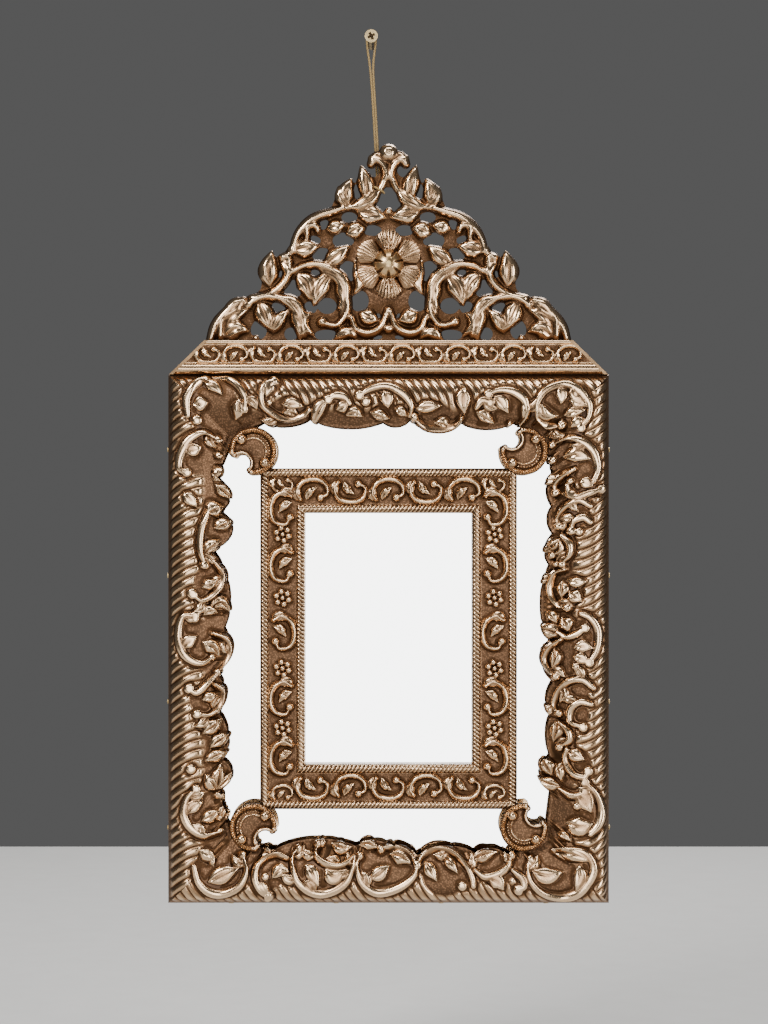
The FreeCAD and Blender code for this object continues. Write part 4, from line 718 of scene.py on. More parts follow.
# %% Inner covers
def inner_cover(side, columns):
    way = np.linspace(-1, 1, columns)
    inward, depth, lean, face, angle = slip_profile(columns)
    along, x, z = side_plan(side, way, inward, SLIP_HALF_X, SLIP_HALF_Z)
    relief = Relief(x, z)
    dress_inner(relief)
    raised, halo = chased(relief.solid, firm=0.2, reach=2, strength=1.7)
    field = np.where((angle < 0) & (face > 0.5), 1.0, 0.0)
    rope = np.where(angle >= 0, 1.0, 0.0) * np.clip(np.sin(np.clip(angle, 0, math.pi)) * 3, 0, 1)
    twist = 0.5 - 0.5 * np.cos(2 * np.pi * (along / ROPE_PITCH + 2 * angle / math.pi))
    height = field * (relief.height - 0.3 * np.clip(halo - raised, 0, 1)) - rope * ROPE_NICK * twist
    # The field is painted darker near its ropes and on the ground between the motifs: painted shade
    from_middle = np.abs(2 * inward / SLIP_BAND - 1)
    shade = field * (1 - raised) * (FIELD_SHADE + FIELD_EDGE_SHADE * smoothstep(0.2, 0.6, from_middle))
    # Ropes get a high number, a painted highlight, that drops in the nicks of the twist: painted shade
    worn = np.where(rope > 0, np.clip(0.9 - 0.7 * twist * rope, 0, 1), cavity(height, 3)) - shade
    inward, depth = inward + height * lean, depth + height * face
    _, x, z = side_plan(side, way, inward, SLIP_HALF_X, SLIP_HALF_Z)
    piece = lay_sheet(f"slip_sheet_{side}", x, depth, z, worn, field * (1 - raised))
    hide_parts(f"slip_cover_{side}")
    return piece


inner_sheets = [inner_cover(side, 460 if side in LEVEL else 600) for side in SIDES]

# %% [markdown]
# ## Frieze
# The frieze covers the rail that carries the crest: a round bead below, a field of lying C-scrolls, up and
# down by turns, and a thin strip above. Its ends slope in, so every row of the sheet is a little shorter
# than the last. The scroll is the inner frame's again, smaller.

# %% Frieze sheet
RAIL_HEIGHT, RAIL_HALF, RAIL_INSET = 19.4, 122.5, 20.0
FRIEZE_FACE, FRIEZE_BEAD, FRIEZE_STRIP, STRIP_RISE = 16.8, 6.4, 2.2, 1.2
BEAD_STEPS, FIELD_STEPS = 15, 29
FRIEZE_MIDDLE_PIXEL = 356.0
FRIEZE_SCROLLS, SCROLL_STEP, SCROLL_SIZE = 14, 27.5, 0.72
STRIP_SHINE = 0.72
FIELD_LOW, FIELD_HIGH = FRIEZE_BEAD - RAIL_HEIGHT, -FRIEZE_STRIP


def frieze_profile():
    """Height over the crest's foot and depth for each row, from the rail's lower edge to its upper one."""
    radius = FRIEZE_BEAD / 2
    rows = [(-RAIL_HEIGHT, FRIEZE_FACE - SHEET)]
    for i in range(BEAD_STEPS + 1):
        angle = math.pi * i / BEAD_STEPS
        across, rise = radius * math.cos(angle), radius * math.sin(angle)
        rows.append((radius - RAIL_HEIGHT - across, FRIEZE_FACE + rise))
    for i in range(1, FIELD_STEPS + 1):
        rows.append((FIELD_LOW + (FIELD_HIGH - FIELD_LOW) * i / FIELD_STEPS, FRIEZE_FACE))
    rows.append((FIELD_HIGH + 0.05, FRIEZE_FACE + STRIP_RISE))
    rows.append((FIELD_HIGH / 2, FRIEZE_FACE + STRIP_RISE + 0.1))
    rows.append((0, FRIEZE_FACE + STRIP_RISE))
    rows.append((0, FRIEZE_FACE - SHEET))
    return np.array(rows).T


def frieze_sheet(columns=620):
    up, depth = (np.repeat(column[:, None], columns, axis=1) for column in frieze_profile())
    way = np.linspace(-1, 1, columns)
    x = way * (RAIL_HALF - RAIL_INSET * (up + RAIL_HEIGHT) / RAIL_HEIGHT)
    z = up + CREST_Z - CENTRE_Z
    relief = Relief(x, z)
    for i in range(FRIEZE_SCROLLS):
        place = PHOTO_CENTRE[0] + (i - (FRIEZE_SCROLLS - 1) / 2) * SCROLL_STEP
        small_scroll(relief, place, FRIEZE_MIDDLE_PIXEL, -1 if i % 2 else 1, SCROLL_SIZE, lying=True)
    field = np.where((up > FIELD_LOW + 0.4) & (up < FIELD_HIGH - 0.4), 1.0, 0.0)
    raised, halo = chased(relief.solid, firm=0.2, reach=2, strength=1.7, field=field)
    height = field * relief.height - 0.3 * np.clip(halo - raised, 0, 1)
    worn = np.where(field > 0, cavity(height, 3) - FIELD_SHADE * (1 - raised), STRIP_SHINE)
    piece = lay_sheet("frieze_sheet", x, depth + height, z, worn, field * (1 - raised))
    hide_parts("frieze_cover")
    return piece


frieze = frieze_sheet()

# %% [markdown]
# ## Pierced work
# The crest, its rosette and the corner pieces are openwork: sheet cut through with a fret saw round the
# motifs and then chased. A boolean cut would leave ragged edges in the relief. So a flat grid is cut away
# outside the drawing, its rim is pulled onto the line, it is extruded to a thickness, and its two faces
# are pushed out, the front to the relief and the back to a rounded edge.

# %% Pierced sheet tools
SMOOTH_ANGLE = 50
EXTRUSION = 0.001
PULL = 1.1


def cut_away(piece, gone):
    """Delete the marked points of a sheet."""
    select_only(piece)
    bpy.ops.object.mode_set(mode="EDIT")
    bpy.ops.mesh.select_mode(type="VERT")
    bpy.ops.mesh.select_all(action="DESELECT")
    bpy.ops.object.mode_set(mode="OBJECT")
    piece.data.vertices.foreach_set("select", gone)
    bpy.ops.object.mode_set(mode="EDIT")
    bpy.ops.mesh.delete(type="VERT")
    bpy.ops.object.mode_set(mode="OBJECT")


def give_two_faces(piece):
    """Extrude a sheet, then push its front and its back to the depths kept on its points."""
    edit_all(bpy.ops.mesh.extrude_region_move, TRANSFORM_OT_translate={"value": (0, -EXTRUSION, 0)})
    mesh = piece.data
    places = read_places(mesh)
    depths = {}
    for label in ("front", "back"):
        depths[label] = np.empty(len(places), np.float32)
        mesh.attributes[label].data.foreach_get("value", depths[label])
        mesh.attributes.remove(mesh.attributes[label])
    forward = places[:, 1] < -EXTRUSION / 2
    places[:, 1] = -np.where(forward, depths["front"], depths["back"]) / 1000
    mesh.vertices.foreach_set("co", places.ravel())
    mesh.update()
    edit_all(bpy.ops.mesh.normals_make_consistent, inside=False)
    bpy.ops.object.shade_smooth_by_angle(angle=math.radians(SMOOTH_ANGLE))


def pierced_sheet(name, low, high, step, design, place):
    """Cut and raise a sheet; the design gives its margin, both depths, its wear and painted shade, and its
    ground.
    """
    columns = int(round((high[0] - low[0]) / step)) + 1
    rows = int(round((high[1] - low[1]) / step)) + 1
    x, z = np.meshgrid(np.linspace(low[0], high[0], columns), np.linspace(low[1], high[1], rows))
    margin, front, back, worn, ground = design(x, z)
    slope_z, slope_x = np.gradient(margin, step)
    slope = np.sqrt(slope_x ** 2 + slope_z ** 2) + 1e-3
    reach = margin / slope
    pulled = (reach < 0) & (reach > -PULL * step)
    x = np.where(pulled, x - reach * slope_x / slope, x)
    z = np.where(pulled, z - reach * slope_z / slope, z)
    piece, row, column = plain_grid(name, rows, columns)
    flat = np.stack([x + place[0], np.zeros_like(x), z + place[1]], axis=2) / 1000
    piece.data.vertices.foreach_set("co", flat[row, column].ravel())
    for label, values in (("relief", worn), ("ground", ground), ("front", front), ("back", back)):
        keep_number(piece.data, label, values[row, column])
    kept = (reach >= 0) | pulled
    cut_away(piece, ~kept[row, column])
    give_two_faces(piece)
    print(name, "triangles", 2 * len(piece.data.polygons))
    return piece


def outline_margin(x, z, outline):
    """Distance from a closed outline, positive inside it."""
    outline = np.asarray(outline, float)
    distance = np.full_like(x, np.inf)
    inside = np.zeros(x.shape, bool)
    for (ax, az), (bx, bz) in zip(outline, np.roll(outline, -1, axis=0)):
        run = (bx - ax) ** 2 + (bz - az) ** 2
        t = np.clip(((x - ax) * (bx - ax) + (z - az) * (bz - az)) / run, 0, 1)
        distance = np.minimum(distance, np.hypot(x - ax - t * (bx - ax), z - az - t * (bz - az)))
        if az != bz:
            crossing = (az > z) != (bz > z)
            inside ^= crossing & (x < ax + (z - az) * (bx - ax) / (bz - az))
    return np.where(inside, distance, -distance)


# %% [markdown]
# ## Crest
# The crest is drawn once for its left half and mirrored: a ball finial between two curling stems, big
# C-scrolls with acanthus leaves on both sides, and openings between them that go right through. The
# cord is tied round the uppermost stem, so that one stays slim enough for its hitch.

# %% Crest drawing
# Lines are in pixels of the photograph; a leaf also has half its breadth in millimetres
TIED_STEM = [(369, 161), (374, 157), (380, 162), (382, 176), (377, 190), (366, 201), (354, 207), (340, 210)]
CREST_STEMS = [
    [(340, 210), (328, 214), (313, 219), (302, 227), (294, 238), (289, 252)],
    [(279, 259), (285, 258), (286, 270), (281, 284), (267, 295), (248, 299)],
    [(288, 274), (302, 267), (320, 267), (335, 277), (342, 293), (344, 311), (334, 326), (319, 324)],
    [(246, 305), (258, 299), (270, 298), (285, 302), (296, 314), (301, 333)],
    [(218, 338), (219, 321), (227, 310), (241, 301)],
    [(348, 319), (353, 330), (365, 334), (378, 327), (384, 310)],
    [(304, 238), (304, 229), (312, 227), (315, 233)], [(208, 341), (211, 331), (216, 321), (223, 311)],
]
CREST_ARMS = [
    [(312, 268), (334, 277), (342, 295), (336, 318)], [(270, 298), (289, 304), (298, 318), (299, 336)],
    [(246, 304), (236, 305), (227, 313), (221, 326)], [(377, 191), (368, 200), (356, 207), (342, 210)],
]
CREST_FINIAL = [(368, 166), (371, 162), (376, 163), (381, 170), (383, 179)]
CREST_LEAVES = [
    ([(365, 204), (363, 188), (358, 171)], 3.4), ([(344, 208), (343, 195), (348, 183)], 3.2),
    ([(345, 208), (339, 200), (336, 190)], 2.6), ([(354, 214), (366, 216), (380, 219)], 4.0),
    ([(323, 231), (331, 229), (341, 227)], 3.0), ([(343, 236), (352, 232), (361, 231)], 3.6),
    ([(290, 252), (302, 250), (314, 248)], 3.8), ([(321, 267), (333, 258), (344, 249)], 3.6),
    ([(267, 288), (266, 273), (269, 256)], 4.0), ([(276, 262), (283, 268), (284, 280)], 2.4),
    ([(293, 275), (302, 284), (305, 299)], 4.0), ([(327, 275), (318, 287), (312, 304)], 4.0),
    ([(334, 281), (340, 296), (334, 307)], 3.0), ([(256, 302), (261, 314), (267, 329)], 4.0),
    ([(289, 305), (296, 319), (296, 338)], 3.8), ([(219, 328), (229, 318), (243, 313)], 3.8),
    ([(222, 339), (232, 331), (244, 333)], 3.8), ([(356, 313), (365, 318), (374, 321)], 3.4),
    ([(352, 262), (356, 280), (350, 293)], 2.6), ([(309, 313), (300, 322), (312, 335)], 2.4),
    ([(270, 334), (276, 322), (285, 313)], 2.8), ([(331, 340), (342, 334), (352, 340)], 2.4),
]
# Beads: the centre, and the radius in millimetres
CREST_BEADS = [
    (289, 252, 3.0), (369, 161, 2.8), (319, 323, 3.2), (246, 306, 3.0), (280, 260, 2.6), (332, 229, 2.8),
    (241, 301, 2.2), (301, 335, 2.6), (348, 318, 2.2), (253, 339, 2.0), (229, 338, 2.2), (315, 233, 1.8),
]
CREST_MIDDLE = [(384.5, 155, 5.2), (384.5, 330, 2.6), (384.5, 213, 2.2)]
# Openings: the centre, half the width and half the height in pixels
CREST_HOLES = [
    (369, 170, 6, 7), (356, 193, 4, 8), (346, 219, 6, 4), (381, 202, 8, 10), (369, 232, 7, 4),
    (340, 242, 8, 6), (320, 226, 5, 4), (307, 242, 8, 4), (319, 256, 8, 5), (344, 273, 8, 8),
    (279, 270, 4, 9), (312, 281, 5, 8), (290, 290, 7, 7), (324, 307, 7, 6), (307, 309, 5, 5),
    (356, 302, 7, 8), (279, 308, 8, 5), (256, 331, 6, 7), (288, 335, 5, 5), (323, 336, 9, 4),
    (374, 322, 3, 6), (211, 339, 5, 4), (369, 338, 8, 2), (253, 316, 3, 5),
]
# Left half of the outline, in millimetres from the middle of the foot
CREST_OUTLINE = [
    (-97, -1), (-97, 5), (-87, 17), (-80, 23), (-73, 30), (-71, 48), (-62, 48), (-55, 56), (-46, 66),
    (-34, 73), (-29, 86), (-20, 90), (-15, 98), (-9, 100), (-6, 106),
]

print("half the crest:", len(CREST_STEMS) + 1, "stems,", len(CREST_LEAVES), "leaves,",
      len(CREST_HOLES), "openings")

# %% Crest sheet
PLATE_FRONT, PLATE_BACK = 8.0, 5.0
OPENING_GROWTH = 1.35
LEAF_LENGTHENING, LEAF_BROADENING = 1.15, 1.55
CREST_RISE = 5.2
ROSETTE_RADIUS, ROSETTE_Z = 19.6, 44.0
CREST_LOW, CREST_HIGH, CREST_STEP = (-104.5, -0.6), (104.5, 113.6), 0.55
FACE_GAP = 0.15


def dress_crest(relief):
    """Raise the stems, leaves, arms, finial and beads of the left half."""
    relief.stroke(TIED_STEM, width=2.4, height=2.4, taper=0.15)
    for points in CREST_STEMS:
        relief.stroke(points, width=2.8, height=4.3, taper=0.15, swell=0.4, section=RIDGED)
    for points, breadth in CREST_LEAVES:
        foot = np.array(points[0])
        grown = foot + LEAF_LENGTHENING * (np.array(points) - foot)
        relief.leaf(grown, LEAF_BROADENING * breadth, height=4.6, veins=2.2)
    for points in CREST_ARMS:
        relief.leaf(points, width=4.6, height=4.8, veins=2.6)
    relief.stroke(CREST_FINIAL, width=2.8, height=3.8, section=RIDGED)
    for px, py, radius in CREST_BEADS + CREST_MIDDLE:
        relief.bead((px, py), radius, min(CREST_RISE, 1.2 * radius))


def crest_ground(x, z):
    """Margin of the plate inside its outline and outside its openings."""
    mirrored = [(-px, pz) for px, pz in reversed(CREST_OUTLINE)]
    plate = outline_margin(x, z, CREST_OUTLINE + mirrored)
    for px, py, half_x, half_y in CREST_HOLES:
        centre = to_crest([(px, py)])[0]
        spread = np.hypot((-np.abs(x) - centre[0]) / half_x, (z - centre[1]) / half_y) / MM_PER_PIXEL
        plate = np.minimum(plate, (spread - OPENING_GROWTH) * min(half_x, half_y) * MM_PER_PIXEL)
    return plate


def crest_design(x, z):
    """The whole crest from its left half: stems, leaves and beads over a pierced ground."""
    relief = Relief(-np.abs(x), z, to_crest)
    dress_crest(relief)
    from_rosette = np.hypot(x, z - ROSETTE_Z)
    margin = np.maximum(np.maximum(crest_ground(x, z), relief.solid), ROSETTE_RADIUS * 0.8 - from_rosette)
    margin = np.minimum(soften(margin, 1), z - CREST_LOW[1])
    raised, halo = chased(relief.solid, firm=0.3, reach=2, strength=1.6)
    rim = smoothstep(0, 0.9, margin)
    under = np.where(from_rosette < ROSETTE_RADIUS - 1, 0.0, 1.0)
    height = soften(0.2 + relief.height - 0.5 * np.clip(halo - raised, 0, 1) + 0.3 * rim, 1) * under
    front = PLATE_FRONT + FACE_GAP + np.clip(height, -0.2, CREST_RISE)
    rounding = np.sqrt(np.clip(1 - (1 - np.clip(margin / 3, 0, 1)) ** 2, 0, 1))
    back = PLATE_FRONT - FACE_GAP - (PLATE_FRONT - PLATE_BACK) * rounding
    # The crest's plain ground is lowered by 0.2, so it is painted darker: painted shade
    return margin, front, back, cavity(height, 3) - 0.2 * (1 - raised), 1 - raised


crest = pierced_sheet("crest_sheet", CREST_LOW, CREST_HIGH, CREST_STEP, crest_design, (CENTRE_X, CREST_Z))
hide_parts("crest_panel")

# %% [markdown]
# ## Rosette
# Six shell-ribbed petals round a button. The petals are cut from one disc, so the same tool makes them, and
# their outline and ribs are a formula of the angle.

# %% Rosette petals
PETALS, RIBS = 6, 54
PETAL_RISE, PETAL_ROOT, PETAL_FULLNESS = 3.6, 0.76, 0.6
RIB_HEIGHT, HUB_RADIUS, ROSETTE_RISE = 0.3, 9.0, 4.4
ROSETTE_EDGE, ROSETTE_STEP = 20.5, 0.35


def rosette_design(x, z):
    radius, angle = np.hypot(x, z), np.arctan2(x, z)
    petal = np.abs(np.cos(PETALS / 2 * angle))
    full = petal ** PETAL_FULLNESS
    edge = ROSETTE_RADIUS * (PETAL_ROOT + (1 - PETAL_ROOT) * full)
    share = np.clip(radius / edge, 0, 1)
    swell = np.sqrt(np.clip(1 - (2 * share - 1.1) ** 2 / 1.25, 0, 1))
    ribs = RIB_HEIGHT * np.cos(RIBS * angle) * smoothstep(5, 10, radius)
    height = 0.4 + PETAL_RISE * swell * full + ribs * petal
    height = np.maximum(height, PETAL_RISE * smoothstep(HUB_RADIUS + 0.5, HUB_RADIUS - 0.5, radius))
    front = PLATE_FRONT + 0.3 + np.clip(height, 0.1, ROSETTE_RISE)
    return edge - radius, front, np.full_like(x, PLATE_FRONT + 0.1), cavity(height, 3), np.zeros_like(x)


rosette_place = (CENTRE_X, CREST_Z + ROSETTE_Z)
rosette_low, rosette_high = (-ROSETTE_EDGE, -ROSETTE_EDGE), (ROSETTE_EDGE, ROSETTE_EDGE)
petals = pierced_sheet("rosette_petals", rosette_low, rosette_high, ROSETTE_STEP, rosette_design,
                       rosette_place)
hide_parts("rosette")

# %% [markdown]
# ## Corner pieces
# A crescent sits on the lip at each inner corner: a ribbed rim, a row of grains and a thin line inside it
# with a ball at both ends, and a notch with two curls. The four are alike, so one drawing is turned by a
# quarter for each corner.

# %% Corner crescents
NOTCH_REACH, NOTCH_RADIUS, NOTCH_ANGLE, NOTCH_INSET = 9.75, 6.5, 225, 0.4
CORNER_SEAT, CORNER_PLATE = 17.5, 1.2
CORNER_EDGE, CORNER_STEP = 16.0, 0.3
CORNERS = {
    "corner_top_left": (-1, 1, 0), "corner_top_right": (1, 1, 1),
    "corner_bottom_right": (1, -1, 2), "corner_bottom_left": (-1, -1, 3),
}


def on_circle(radius, degrees):
    return (radius * math.cos(math.radians(degrees)), radius * math.sin(math.radians(degrees)))


def dress_corner(relief, notch_centre):
    """Rim, line, grains, balls and end beads, then the lip of the notch with its curls."""
    rim = CORNER_RADIUS - 1
    relief.stroke([on_circle(rim, a) for a in range(-95, 186, 14)], width=1.7, height=3.0, rib=1.3)
    relief.stroke([on_circle(CORNER_RADIUS - 5.6, a) for a in range(-36, 127, 14)], width=0.7, height=1.9)
    for a in range(-30, 121, 10):
        relief.bead(on_circle(CORNER_RADIUS - 3.7, a), 0.7, 1.6)
    for a in (-45, 135):
        relief.bead(on_circle(CORNER_RADIUS - 3.6, a), 3.4, 4.0)
    for a in (-95, 185):
        relief.bead(on_circle(rim, a), 1.9, 3.2)

    def on_lip(degrees):
        return np.add(notch_centre, on_circle(NOTCH_RADIUS - NOTCH_INSET, degrees))

    relief.stroke([on_lip(a) for a in range(-28, 119, 14)], width=1.2, height=2.4)
    for a in (-40, 130):
        relief.bead(on_lip(a), 1.7, 2.4)


def corner_design(turns):
    """The crescent's drawing, turned clockwise by quarters."""
    def design(x, z):
        for _ in range(turns):
            x, z = -z, x
        centre = on_circle(NOTCH_REACH, NOTCH_ANGLE)
        relief = Relief(x, z, np.asarray)
        dress_corner(relief, centre)
        plate = np.minimum(CORNER_RADIUS - np.hypot(x, z),
                           np.hypot(x - centre[0], z - centre[1]) - NOTCH_RADIUS)
        raised = smoothstep(-0.1, 0.2, relief.solid)
        height = np.maximum(relief.height, smoothstep(0, 6, plate))
        front = CORNER_SEAT + CORNER_PLATE + height
        worn = cavity(height, 3) - FIELD_SHADE * (1 - raised)
        return np.maximum(plate, relief.solid), front, np.full_like(x, CORNER_SEAT), worn, 1 - raised
    return design


corner_pieces = []
for name, (hand_x, hand_z, turns) in CORNERS.items():
    place = (CENTRE_X + hand_x * CORNER_X, CENTRE_Z + hand_z * CORNER_Z)
    low, high = (-CORNER_EDGE, -CORNER_EDGE), (CORNER_EDGE, CORNER_EDGE)
    label = name.replace("corner", "crescent")
    crescent = pierced_sheet(label, low, high, CORNER_STEP, corner_design(turns), place)
    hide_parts(name)
    corner_pieces.append(crescent)

# %% [markdown]
# ## Hanging cord
# A doubled gold twine goes over the hanging screw and down to a knot behind the crest's stem. The mirror's
# weight pulls it straight, so a curve through a few given points is enough. Its strands draw
# together below the screw, as they do in the photograph; the knot is three turns of the same twine.

# %% Cord
CORD_DIAMETER = 0.0012
CORD_Y = -0.0032


def cord_curve(name, points, radius):
    data = bpy.data.curves.new(name, "CURVE")
    data.dimensions = "3D"
    data.bevel_depth = 1.0
    data.bevel_resolution = 4
    data.resolution_u = 12
    data.use_fill_caps = True
    spline = data.splines.new("NURBS")
    spline.points.add(len(points) - 1)
    for point, place in zip(spline.points, points):
        point.co = (*place, 1)
        point.radius = radius
    spline.order_u = 3
    spline.use_endpoint_u = True
    curve = bpy.data.objects.new(name, data)
    bpy.context.scene.collection.objects.link(curve)
    return curve


# From the knot up one strand, over the screw and down the other; x and z in millimetres
CORD_ROUTE = [
    (3.5, -86.4), (1.4, -45.0), (-0.6, -17.0), (-2.3, -7.0), (-2.7, 1.0), (-1.2, 2.7),
    (1.2, 2.7), (2.7, 1.0), (2.2, -7.0), (0.7, -17.0), (2.7, -45.0), (4.9, -86.4),
]
cord_route = [(x / 1000, CORD_Y, z / 1000) for x, z in CORD_ROUTE]
cord = cord_curve("hanging_twine", cord_route, CORD_DIAMETER / 2)
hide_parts("cord_loop")
print("cord points", len(cord_route))

# %% Knot
# Turns of the knot: height in metres and tilt in degrees
KNOT_TURNS = ((-0.0861, 12), (-0.0873, -10), (-0.0885, 12))
KNOT_X, KNOT_RADIUS, KNOT_TWINE = 0.0042, 0.00095, 0.00062

turns_of_knot = []
for height, tilt in KNOT_TURNS:
    bpy.ops.object.select_all(action="DESELECT")
    bpy.ops.mesh.primitive_torus_add(
        major_radius=KNOT_RADIUS, minor_radius=KNOT_TWINE, major_segments=24, minor_segments=10,
        location=(KNOT_X, CORD_Y, height), rotation=(math.radians(tilt), math.radians(-tilt), 0))
    turns_of_knot.append(bpy.context.active_object)
select_only(turns_of_knot[0])
for turn in turns_of_knot:
    turn.select_set(True)
bpy.ops.object.join()
knot = bpy.context.active_object
knot.name = "twine_knot"
bpy.ops.object.transform_apply(location=True, rotation=True, scale=True)
bpy.ops.object.shade_smooth()
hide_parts("cord_knot")
print("knot turns", len(turns_of_knot))

# %% [markdown]
# ## Shader arithmetic
# A finish is a small sum of noises and masks. Node by node it is long to write and hard to read, so one
# class wraps a value and lets plain arithmetic add the nodes, and another holds the material itself.

# %% Flow and Finish
class Flow:
    """A value in a finish; arithmetic on it adds the nodes."""

    def __init__(self, finish, socket):
        self.finish, self.socket = finish, socket

    def math(self, operation, first, second):
        return self.finish.node("ShaderNodeMath", {"operation": operation}, {0: first, 1: second})

    def __add__(self, other):
        return self.math("ADD", self, other)

    def __mul__(self, other):
        return self.math("MULTIPLY", self, other)

    def __sub__(self, other):
        return self.math("SUBTRACT", self, other)

    def __rsub__(self, other):
        return self.math("SUBTRACT", other, self)

    __radd__, __rmul__ = __add__, __mul__

    def size(self):
        return self.math("ABSOLUTE", self, 0)

    def between(self, low, high):
        """Rise smoothly from 0 to 1 between two values."""
        settings = {"interpolation_type": "SMOOTHSTEP"}
        return self.finish.node("ShaderNodeMapRange", settings, {"Value": self, 1: low, 2: high})

    def blend(self, low, high):
        """Mix two colours by this value."""
        sockets = {"Factor": self, 6: low, 7: high}
        return self.finish.node("ShaderNodeMix", {"data_type": "RGBA"}, sockets, 2)


class Finish:
    """A material, with one method that adds any node to it."""

    def __init__(self, name):
        self.material = bpy.data.materials.new(name)
        self.material.use_nodes = True
        self.tree = self.material.node_tree
        self.shader = self.tree.nodes["Principled BSDF"]

    def feed(self, socket, value):
        if isinstance(value, Flow):
            self.tree.links.new(value.socket, socket)
        else:
            socket.default_value = value

    def node(self, kind, settings, sockets, output=0):
        """Add a node, first its settings and then its sockets, and return one of its outputs."""
        node = self.tree.nodes.new(kind)
        for name, value in settings.items():
            setattr(node, name, value)
        for name, value in sockets.items():
            self.feed(node.inputs[name], value)
        return Flow(self, node.outputs[output])

    def kept(self, name):
        """A number that the sheet's points keep."""
        return self.node("ShaderNodeAttribute", {"attribute_name": name}, {}, "Fac")

    def coords(self):
        return self.node("ShaderNodeTexCoord", {}, {}, "Object")

    def place(self, axis, centre=0.0):
        """Distance from a centre along one axis."""
        return self.node("ShaderNodeSeparateXYZ", {}, {"Vector": self.coords()}, axis) - centre

    def noise(self, scale, detail=3.0, stretch=(1, 1, 1)):
        place = self.node("ShaderNodeMapping", {}, {"Vector": self.coords(), "Scale": stretch})
        return self.node("ShaderNodeTexNoise", {}, {"Vector": place, "Scale": scale, "Detail": detail})

    def bump(self, height, strength, distance):
        sockets = {"Height": height, "Strength": strength, "Distance": distance}
        return self.node("ShaderNodeBump", {}, sockets)

    def shade(self, **sockets):
        """Feed the shader's sockets and return the finished material."""
        for name, value in sockets.items():
            self.feed(self.shader.inputs[name.replace("_", " ")], value)
        return self.material


# %% [markdown]
# ## Sheet metal
# The real sheet is a pale gilt, worn bright on the heights and brown with old dirt in the hollows, and its
# ground is punched with small dots. The numbers kept on the sheets drive the colour, so it follows the
# relief:
# lighter on the heights, which is wear and painted highlight, and darker in the hollows, which is dirt and
# painted shade. The plain parts, the pins and the screws have a cloudy tarnish instead.

# %% Metals
# SHADE_AND_DIRT is dirt and painted shade for the hollows; POLISH_AND_HIGHLIGHT is polish and painted
# highlight for the heights
SHADE_AND_DIRT, MIDDLE, POLISH_AND_HIGHLIGHT = (0.075, 0.037, 0.017, 1), (0.34, 0.205, 0.112, 1), (0.73, 0.51, 0.31, 1)
COPPER, PIT = (0.24, 0.127, 0.07, 1), (0.065, 0.032, 0.017, 1)


def embossed_metal():
    """Gilt sheet: dirt and painted shade in the hollows, wear and painted highlight on the heights, and a
    stippled ground.
    """
    gilt = Finish("embossed_sheet")
    ground = gilt.kept("ground")
    worn = gilt.kept("relief") + (gilt.noise(60) - 0.5) * 0.25
    # Low numbers are painted dark and high ones light: dirt and painted shade in hollows, wear and painted
    # highlight on heights
    low = worn.between(0.15, 0.5).blend(SHADE_AND_DIRT, MIDDLE)
    colour = worn.between(0.5, 0.95).blend(low, POLISH_AND_HIGHLIGHT)
    # The stipple mixes COPPER with the near-black PIT in a dot pattern: the dark is dirt and painted shade
    # in the punched pits
    dots = gilt.node("ShaderNodeTexVoronoi", {}, {"Vector": gilt.coords(), "Scale": 950.0})
    stipple = dots.between(0.15, 0.6).blend(COPPER, PIT)
    tone = (ground * 0.8).blend(colour, stipple)
    # The lowest numbers turn to the darkest colour: dirt and painted shade in the hollows
    dirt_and_shade = (1 - worn.between(0.12, 0.42)).blend(tone, SHADE_AND_DIRT)
    rough = 0.34 - worn.between(0.3, 0.8) * 0.15 + ground * 0.2
    grain = dots * ground + gilt.noise(900) * 0.3
    return gilt.shade(Base_Color=dirt_and_shade, Roughness=rough, Metallic=1.0, Normal=gilt.bump(grain, 0.5, 0.0003))


def plain_metal(name, low, high, rough):
    """Sheet or wire with cloudy tarnish and faint scratches."""
    metal = Finish(name)
    cloud = metal.noise(90, 4.0)
    scratches = metal.noise(400, 2.0, (1, 1, 8))
    return metal.shade(Base_Color=cloud.between(0.35, 0.7).blend(low, high), Roughness=rough + cloud * 0.15,
                       Metallic=0.9, Normal=metal.bump(scratches, 0.15, 0.0002))


def screw_brass():
    """Brass screw with a crossed recess in its head."""
    screw = Finish("screw_brass")
    across, upward = screw.place("X"), screw.place("Z")
    slant, other = (across + upward * 0.5).size(), (upward - across * 0.5).size()
    first = (1 - slant.between(0.0005, 0.0009)) * (1 - other.between(0.0022, 0.0026))
    second = (1 - other.between(0.0005, 0.0009)) * (1 - slant.between(0.0022, 0.0026))
    recess = first + second
    cloud = screw.noise(300)
    brass = cloud.blend((0.50, 0.36, 0.17, 1), (0.74, 0.58, 0.33, 1))
    # The recess is painted near black as well as bumped: painted shade in the slot
    return screw.shade(Base_Color=recess.blend(brass, (0.05, 0.03, 0.015, 1)), Roughness=0.32 + cloud * 0.1,
                       Metallic=0.9, Normal=screw.bump(1 - recess, 0.8, 0.0006))


def button_metal():
    """The rosette's button: a dome with creases that run out from its middle."""
    button = Finish("button_metal")
    across = button.place("X", CENTRE_X / 1000)
    upward = button.place("Z", (CREST_Z + ROSETTE_Z) / 1000)
    turn = across.math("ARCTAN2", upward, across) * 7
    crease = turn.math("SINE", turn, 0).between(0.35, 1.0)
    depth = crease * (across * across + upward * upward).between(0.000006, 0.00003)
    cloud = button.noise(90, 4.0)
    gilt = cloud.between(0.35, 0.7).blend((0.34, 0.21, 0.10, 1), (0.60, 0.41, 0.22, 1))
    # The creases are painted dark as well as bumped: painted shade
    return button.shade(Base_Color=depth.blend(gilt, SHADE_AND_DIRT), Roughness=0.24 + cloud * 0.12, Metallic=1.0,
                        Normal=button.bump(1 - depth, 0.8, 0.0008))


